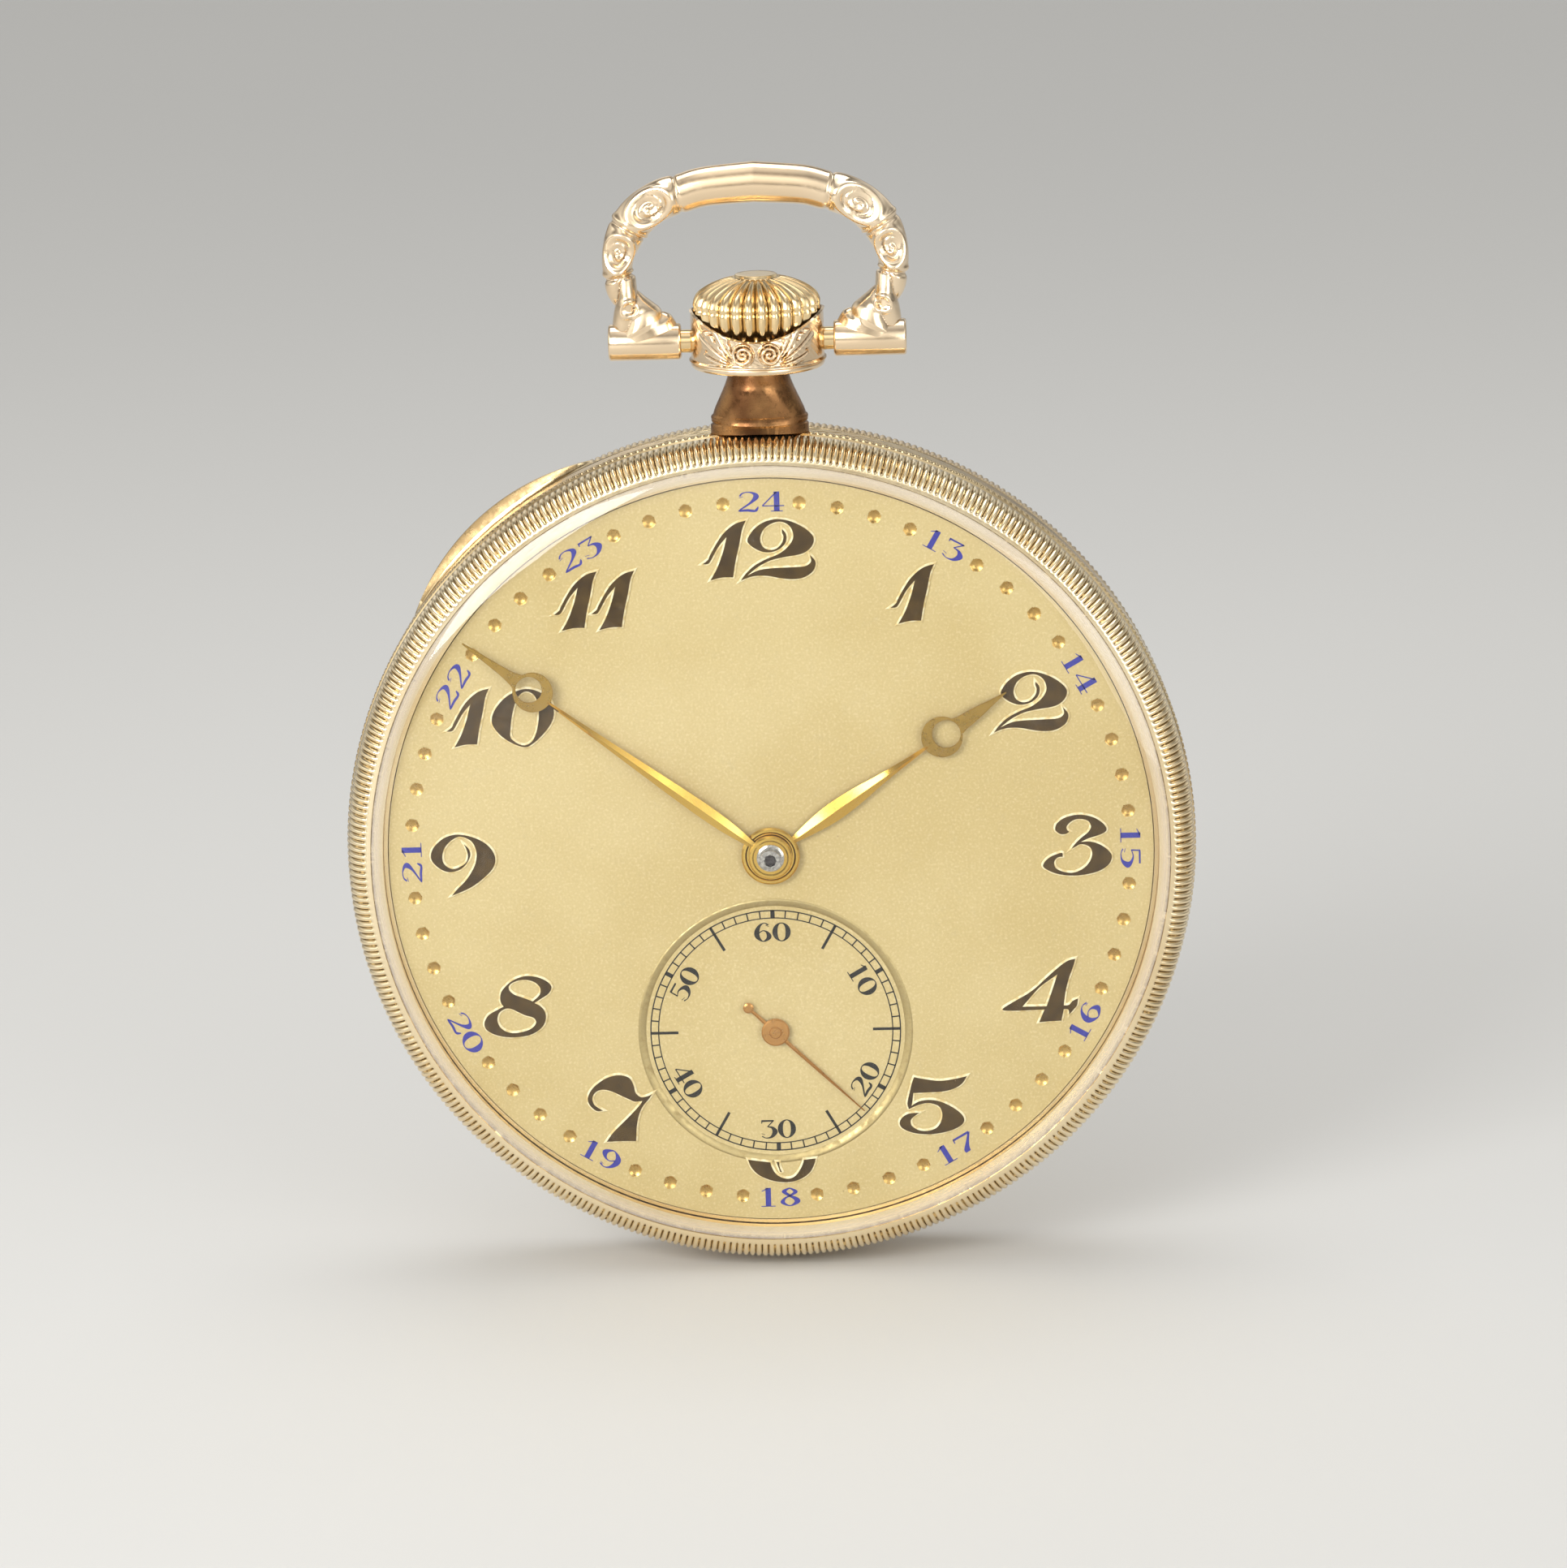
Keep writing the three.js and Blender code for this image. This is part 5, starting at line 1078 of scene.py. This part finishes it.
MINUTE_LEAF = [(0.95, 0.14), (2.0, 0.28), (3.4, 0.4), (5.2, 0.42), (8.5, 0.32), (12.0, 0.19), (15.4, 0.08)]
MINUTE_TIP = [(17.42, 0.46), (17.8, 0.34), (18.3, 0.25), (19.2, 0.17), (20.3, 0.09), (21.2, 0.02)]
ring_hand("minute", "centre_minute", MINUTE_ANGLE, MINUTE_LEAF, (-2.84, -2.64), (16.4, 1.12, 0.76, 0.27),
          (-2.78, -2.66), MINUTE_TIP, (1.25, 0.61), (-2.84, -2.62))

COLLET = [(0.24, -2.8), (0.24, -2.92), (0.3, -2.96), (0.66, -2.96), (0.78, -2.9), (0.78, -2.8)]
hand_nut = turned("minute_hand_collet", COLLET, 72, closed=True)
finished(hand_nut, "centre_minute", MAT["steel"], edge=25)

SECONDS_BLADE = [(-1.9, 0.09), (-0.6, 0.11), (0.6, 0.11), (3.6, 0.085), (6.9, 0.03)]
SECONDS_HUB = [(0, -2.12), (0.8, -2.12), (0.8, -2.2), (0.72, -2.27), (0.35, -2.28), (0.3, -2.34),
               (0.0, -2.36)]
SECONDS_TAIL = [(0, -2.12), (0.3, -2.12), (0.3, -2.2), (0.2, -2.26), (0, -2.28)]
seconds_hand = joined("seconds_hand_fine", [
    ridged_hand("seconds_blade", SECONDS_BLADE, -2.24, -2.12),
    turned("seconds_hub", SECONDS_HUB, 60),
    turned("seconds_tail", SECONDS_TAIL, 36, place=(0, 0, -2.1)),
])
moved(seconds_hand, clock_turn(SECONDS_ANGLE, (0, 0, SUB_Z)))
finished(seconds_hand, "fourth_seconds", MAT["copper_hand"], ["seconds_hand"], edge=25)

# ---------------------------------------------------------------- pendant, crown and bow

CUP_R = 3.83
CUP_LOW = 28.3          # the engraved wall is stretched or squeezed above this height
CUP_DRAWN_TOP = 31.15
CUP_EDGE = 29.63        # height of the wall's top in the middle of the front
CUP_EDGE_RISE = 1.5
NECK_TOP_R = 1.9
NECK_FOOT_R = 2.72      # half the foot's length across the case
NECK_FOOT_DEPTH = 1.65  # half its width from dial to back
NECK_SEAT_TOP = 24.3


def neck_piece():
    """Oval-footed neck: a two-step foot ring, a slightly hollow cone and a straight top."""
    foot = [(1.0, 23.9), (2.66, 23.9), (2.74, 24.0), (2.74, 24.42), (2.68, 24.48), (2.62, 24.52),
            (2.62, 24.56), (2.7, 24.62), (2.72, 24.86), (2.68, 24.94), (2.62, 24.98)]
    cone = [(2.6, 25.02), (2.46, 25.4), (2.16, 26.05), (1.88, 26.7), (1.68, 27.3), (1.64, 27.7)]
    profile = foot + rounded(cone, 4) + [(1.64, 28.35), (1.0, 28.35)]

    def seated(xyz):
        radius = np.hypot(xyz[:, 0], xyz[:, 1])
        excess = np.clip((radius - NECK_TOP_R) / (NECK_FOOT_R - NECK_TOP_R), 0, 1.15)
        xyz[:, 1] *= 1 - excess * (NECK_FOOT_R - NECK_FOOT_DEPTH) / NECK_FOOT_R
        # the foot sits on the round of the case band
        seat = np.sqrt(np.maximum((BAND_R + 0.02) ** 2 - xyz[:, 0] ** 2, 0))
        low = xyz[:, 2] < NECK_SEAT_TOP
        xyz[:, 2] = np.where(low, np.maximum(seat, xyz[:, 2] - (BAND_R + 0.02 - seat)), xyz[:, 2])
        return xyz

    return reshaped(turned("pendant_neck_fine", profile, 240, axis="z", closed=True), seated)


neck = neck_piece()
finished(neck, "case", MAT["neck"], ["pendant_neck"], edge=50)


def scroll_height(x, z):
    """Engraved design on the cup, 0 to 1: two mirrored volutes low in the middle, leaves outside them."""
    ax = np.abs(x)
    design = np.zeros_like(x)
    reach = np.hypot(ax - 0.74, z - 28.92)
    turn = np.arctan2(z - 28.92, ax - 0.74) / TAU
    groove = np.abs((reach / 0.27 - turn) % 1.0 - 0.5) * 2
    design = np.maximum(design, bump_between(reach, -1, 0.62, 0.1) * (1 - 0.85 * (1 - groove) ** 2))
    out = np.hypot(ax - 0.95, z - 28.25)
    bearing = np.degrees(np.arctan2(z - 28.25, ax - 0.95))
    for middle, long, wide in ((12, 2.0, 12), (32, 2.7, 13), (54, 2.5, 12)):
        bent = bearing - middle - 7 * (out / long) ** 2
        width = wide * np.sqrt(np.clip(1 - ((out - 0.62 * long) / (0.42 * long)) ** 2, 0, 1))
        width = width * (1 + 0.22 * np.abs(np.sin(out * 6.5)))
        body = np.clip((width - np.abs(bent)) / 4, 0, 1)
        vein = 1 - 0.5 * np.exp(-(bent / 1.8) ** 2)
        design = np.maximum(design, body * vein)
    return design


def cup_dip(x, height):
    """Height after the wall is pulled down so that its top edge dips towards the middle."""
    shrink = (CUP_EDGE + CUP_EDGE_RISE * (x / CUP_R) ** 2 - CUP_LOW) / (CUP_DRAWN_TOP - CUP_LOW)
    return np.where(height > CUP_LOW, CUP_LOW + (height - CUP_LOW) * shrink, height)


def cup_piece():
    """Cup round the crown, with a rolled foot and engraved walls."""
    wall = [(CUP_R, z) for z in np.arange(28.1, 31.16, 0.06)]
    profile = [(1.96, 27.7), (3.3, 27.7)]
    profile += [(3.5 + 0.24 * math.sin(s), 27.93 - 0.24 * math.cos(s)) for s in np.linspace(0, math.pi, 11)]
    profile += wall + [(3.63, 31.15), (3.63, 28.15), (1.96, 28.15)]

    def engraved(angle, along, radius, height):
        x = radius * np.sin(angle)
        front = np.cos(angle)
        design = scroll_height(x, cup_dip(x, height))
        side = np.clip(np.abs(front) * 2.2, 0, 1)
        on_wall = bump_between(radius, CUP_R - 0.05, 9, 0.02) * bump_between(height, 28.2, 32, 0.08)
        grain = 0.15 * np.sin(angle * 60 + height * 14)
        return on_wall * (0.24 * design * side - 0.12 + 0.02 * grain)

    def dipped(xyz):
        xyz[:, 2] = cup_dip(xyz[:, 0], xyz[:, 2])
        return xyz

    return reshaped(turned("pendant_cup_fine", profile, 720, engraved, axis="z", closed=True), dipped)


cup = cup_piece()
finished(cup, "case", MAT["rose"], ["pendant_cup"], edge=60)

CROWN_FLUTES = 28


def crown_relief(angle, along, radius, height):
    """Rounded flutes from the skirt up over the dome, fading at the flat cap."""
    flute = np.abs(np.sin(angle * CROWN_FLUTES / 2))
    reach = bump_between(height, 29.5, 32.78, 0.2) * np.clip((radius - 1.25) / 1.6, 0, 1) ** 0.6
    waist = 0.06 * np.exp(-((height - 31.1) / 0.09) ** 2) * (radius > 3.2)
    return -0.36 * reach * (1 - flute ** 0.85) - waist


CROWN_DOME = [(2.95, 29.1), (3.3, 29.7), (3.5, 30.3), (3.58, 30.9), (3.55, 31.4), (3.3, 31.85), (2.8, 32.2),
              (2.1, 32.5), (1.5, 32.66), (1.25, 32.7)]
crown_profile = [(0.55, 28.9), (2.7, 28.9)] + rounded(CROWN_DOME)
crown_profile += [(1.2, 32.72), (1.18, 32.84), (1.12, 32.87), (0, 32.87), (0, 31.5), (0.55, 31.5)]
crown_profile = dense(crown_profile, 0.35)
crown = turned("crown_fine", crown_profile, CROWN_FLUTES * 24, crown_relief, axis="z", closed=True)
finished(crown, "crown_and_stem", MAT["engraved"], ["crown"], edge=60)

# right half of the bow from foot to top: (across, above the pins, half width)
BOW_STATIONS = [
    (6.25, 0.3, 1.95), (6.38, 0.7, 1.82), (6.58, 1.1, 1.56), (6.82, 1.55, 1.26), (7.04, 2.05, 1.0),
    (7.24, 2.6, 0.86),
    (7.5, 3.25, 0.8), (7.66, 4.05, 0.82), (7.62, 4.85, 0.9), (7.34, 5.75, 1.02), (6.87, 6.6, 1.1),
    (6.22, 7.3, 1.13), (5.5, 7.8, 1.12), (4.75, 8.12, 1.12), (4.0, 8.3, 1.08), (2.65, 8.65, 1.1),
    (0.0, 8.85, 1.14),
]
BOW_DEPTH = 0.92
BOW_NOTCHES = (3.7, 6.45, 9.95)
BOW_CARTOUCHES = ((5.1, 1.2), (8.25, 1.55))


def bow_arch():
    """Cast bow: thick shoulders, a plain top, and leaf work held between raised bands."""
    half = smoothed(BOW_STATIONS, 26)
    path = np.concatenate([half, (half[::-1] * (-1, 1, 1))[1:]])
    centre = path[:, :2]
    length = np.concatenate([[0], np.cumsum(np.linalg.norm(np.diff(centre, axis=0), axis=1))])
    run = np.gradient(centre, axis=0)
    run /= np.linalg.norm(run, axis=1, keepdims=True)
    side = np.stack([run[:, 1], -run[:, 0]], 1)
    around = 72
    phi = np.linspace(0, TAU, around, endpoint=False)
    s = np.minimum(length, length[-1] - length)[:, None]
    f = phi[None, :]
    away = np.minimum(np.abs(np.abs(f - math.pi) - math.pi / 2), math.pi / 2)
    lift = -0.09 * sum(np.exp(-((s - at) / 0.12) ** 2) for at in BOW_NOTCHES)
    lift = lift + 0.07 * sum(np.exp(-((s - at - 0.22) / 0.14) ** 2) for at in BOW_NOTCHES[:-1])
    for middle, reach in BOW_CARTOUCHES:
        oval = np.sqrt(((s - middle) / reach) ** 2 + (away / 1.05) ** 2)
        bearing = np.arctan2((f % math.pi - math.pi / 2) / 1.05, (s - middle) / reach) / TAU
        scroll = np.abs((oval / 0.45 - bearing) % 1.0 - 0.5) * 2
        lift = lift + 0.16 * np.exp(-((oval - 0.86) / 0.18) ** 2) - 0.2 * bump_between(oval, -1, 0.62, 0.22)
        lift = lift + 0.15 * scroll ** 1.5 * bump_between(oval, -1, 0.66, 0.2)
    leafy = bump_between(s, 0.5, BOW_NOTCHES[0] - 0.1, 0.3)
    strands = np.sin(s * 1.75 + 1.9 * np.cos(f) + 0.5)
    lift = lift + leafy * (0.27 * np.abs(strands) ** 0.7 - 0.17)
    curl = np.sqrt(((s - 1.9) / 0.55) ** 2 + (away / 0.6) ** 2)
    lift = lift + 0.1 * np.exp(-((curl - 0.8) / 0.25) ** 2) - 0.1 * bump_between(curl, -1, 0.55, 0.2)
    wide = path[:, 2:3] + lift
    deep = BOW_DEPTH * (0.86 + 0.14 * path[:, 2:3]) + lift
    x = centre[:, 0:1] + side[:, 0:1] * np.cos(f) * wide
    z = BOW_Z + centre[:, 1:2] + side[:, 1:2] * np.cos(f) * wide
    y = np.sin(f) * deep
    verts = np.stack([x, y, z], -1).reshape(-1, 3)
    rows = len(path)
    faces = grid_faces(rows, around, wrap_columns=True)
    faces.append(list(range(around)))
    faces.append([rows * around - 1 - k for k in range(around)])
    return outward(link_mesh("bow_arch", verts, faces))


def bow_foot(sign):
    """Plain tubular eye of the bow, with a bore for the pin."""
    profile = [(0.72, 4.28), (0.9, 4.25), (0.98, 4.3), (1.02, 4.4), (1.02, 8.16), (0.98, 8.26), (0.9, 8.3),
               (0.5, 8.31), (0, 8.31), (0, 5.5), (0.72, 5.5)]
    points = [(r, sign * h) for r, h in profile]
    return turned("bow_foot", points, 60, axis="x", place=(0, 0, BOW_Z), closed=True)


bow = joined("bow_fine", [bow_arch(), bow_foot(-1), bow_foot(1)])
finished(bow, "bow", MAT["rose"], ["bow"], edge=60)
for side, sign in (("left", -1), ("right", 1)):
    pin = turned(f"bow_pin_{side}_fine", [(0, sign * 3.66), (0.6, sign * 3.66), (0.65, sign * 3.72),
                                          (0.65, sign * 5.26), (0.6, sign * 5.3), (0, sign * 5.3)],
                 40, axis="x", place=(0, 0, BOW_Z))
    finished(pin, "case", MAT["polished"], [f"bow_pin_{side}"])

# ---------------------------------------------------------------- finishes of the remaining CAD nodes

SLOT_FINISH = {
    "yellow_gold": "polished", "patinated_gold": "neck", "hand_gold": "hands", "dial_gilt": "dial",
    "glass": "glass", "brass": "wheel_brass", "nickel": "nickel", "blued_steel": "blue_steel",
    "polished_steel": "steel",
}
NODE_FINISH = {"main_plate": "gilt_plate", "centre_arbor": "dark_steel"}
for entry in frame["record"]["subparts"]:
    node = frame["nodes"][entry["node"]]
    if node.hide_render:
        continue
    slot_name = entry["material_slot"]
    key = NODE_FINISH.get(entry["node"], SLOT_FINISH[slot_name])
    node.data.materials.clear()
    node.data.materials.append(MAT[key])
    shaded(node.data)
    weld = node.modifiers.new("weld", "WELD")
    weld.merge_threshold = 1e-7
    split = node.modifiers.new("hard_edges", "EDGE_SPLIT")
    split.split_angle = math.radians(28)

# ---------------------------------------------------------------- floor, light and camera

FLOOR_SIZE = 4.0
PALE = srgb(212, 211, 208)


def stage_material(name, colour):
    n = Nodes(name)
    shade = n.mix(n.ramp(n.noise(0.004, 2), 0.3, 0.7, 0.0, 0.12), colour, tuple(c * 0.92 for c in colour))
    return n.surface(Base_Color=shade, Roughness=0.75, Normal=n.bump(n.noise(1.5, 2), 0.02, 0.01))


half_floor = FLOOR_SIZE / 2
floor_mesh = bpy.data.meshes.new("floor")
floor_z = (BEZEL_LOW[2] - 0.6) * MM
floor_mesh.from_pydata([(x, y, floor_z) for x, y in ((-half_floor, -half_floor), (half_floor, -half_floor),
                                                     (half_floor, half_floor), (-half_floor, half_floor))],
                       [], [(0, 1, 2, 3)])
floor_mesh.materials.append(stage_material("floor_paper", PALE))
linked("floor", floor_mesh)


def sky():
    """Pale surroundings; reflections see a bright front-left, a warm low band and a few dark bars."""
    world = bpy.data.worlds.new("studio")
    world.use_nodes = True
    tree = world.node_tree
    tree.nodes.clear()
    add = tree.nodes.new
    link = tree.links.new
    coords = add("ShaderNodeTexCoord")
    split = add("ShaderNodeSeparateXYZ")
    link(coords.outputs["Generated"], split.inputs[0])

    def ramp(socket, stops):
        node = add("ShaderNodeValToRGB")
        spread = add("ShaderNodeMapRange")
        spread.inputs["From Min"].default_value = -1
        link(socket, spread.inputs["Value"])
        link(spread.outputs[0], node.inputs[0])
        elements = node.color_ramp.elements
        while len(elements) < len(stops):
            elements.new(0.5)
        for element, (at, value) in zip(elements, stops):
            element.position = at
            element.color = (*(value if isinstance(value, tuple) else (value,) * 3), 1)
        return node.outputs[0]

    def times(a, b):
        node = add("ShaderNodeMix")
        node.data_type = "RGBA"
        node.blend_type = "MULTIPLY"
        node.inputs["Factor"].default_value = 1
        link(a, node.inputs[6])
        link(b, node.inputs[7])
        return node.outputs[2]

    height = ramp(split.outputs["Z"], [
        (0.0, (0.26, 0.22, 0.17)), (0.36, (0.46, 0.41, 0.33)), (0.46, (0.3, 0.26, 0.2)),
        (0.55, (0.8, 0.79, 0.76)), (0.72, (1.25, 1.25, 1.22)), (0.86, (0.32, 0.31, 0.3)), (1.0, 1.1),
    ])
    across = ramp(split.outputs["X"], [(0.0, 1.3), (0.28, 0.55), (0.42, 1.25), (0.6, 0.6), (0.78, 1.05),
                                       (1.0, 0.4)])
    path = add("ShaderNodeLightPath")
    frontal = ramp(split.outputs["Y"], [(0.0, 1.75), (0.4, 1.5), (0.62, 0.8), (1.0, 0.9)])
    choose = add("ShaderNodeMix")
    choose.data_type = "RGBA"
    link(path.outputs["Is Camera Ray"], choose.inputs["Factor"])
    link(times(times(height, across), frontal), choose.inputs[6])
    choose.inputs[7].default_value = (*PALE, 1)
    background = add("ShaderNodeBackground")
    background.inputs["Strength"].default_value = 0.77
    link(choose.outputs[2], background.inputs[0])
    output = add("ShaderNodeOutputWorld")
    link(background.outputs[0], output.inputs[0])
    bpy.context.scene.world = world


sky()


def area_light(name, place_mm, target_mm, width, height, power, colour=(1, 1, 1)):
    data = bpy.data.lights.new(name, "AREA")
    data.shape = "RECTANGLE"
    data.size, data.size_y = width * MM, height * MM
    data.energy = power
    data.color = colour
    lamp = linked(name, data)
    start, aim = Vector(place_mm) * MM, Vector(target_mm) * MM
    lamp.location = start
    lamp.rotation_euler = (aim - start).to_track_quat("-Z", "Y").to_euler()


area_light("key", (-190, -300, 150), (0, 0, 5), 170, 170, 0.93)
area_light("fill", (240, -310, 30), (0, 0, 0), 220, 260, 0.44)
area_light("top", (0, 60, 300), (0, 0, 0), 260, 160, 0.31)


def photo_camera():
    """Camera at the viewing direction and distance found for the front view."""
    azimuth, elevation, roll = (math.radians(v) for v in (1.4046, 14.1461, -1.5491))
    across_mm, up_mm, distance_mm = -0.6858, -3.4898, 339.0119
    back = Vector((math.sin(azimuth) * math.cos(elevation), -math.cos(azimuth) * math.cos(elevation),
                   math.sin(elevation)))
    right = Vector((math.cos(azimuth), math.sin(azimuth), 0))
    up = back.cross(right)
    side = math.cos(roll) * right + math.sin(roll) * up
    top = -math.sin(roll) * right + math.cos(roll) * up
    data = bpy.data.cameras.new("photo_camera")
    data.lens = 136.76
    data.sensor_width = 36
    data.clip_start = 0.01
    camera = bpy.data.objects.new("photo_camera", data)
    bpy.context.scene.collection.objects.link(camera)
    spot = (-across_mm * side - up_mm * top + distance_mm * back + Vector(SHIFT)) * MM
    turn = Matrix((side, top, back)).transposed().to_4x4()
    camera.matrix_world = Matrix.Translation(spot) @ turn
    bpy.context.scene.camera = camera


photo_camera()
bpy.context.scene.view_settings.view_transform = "Standard"
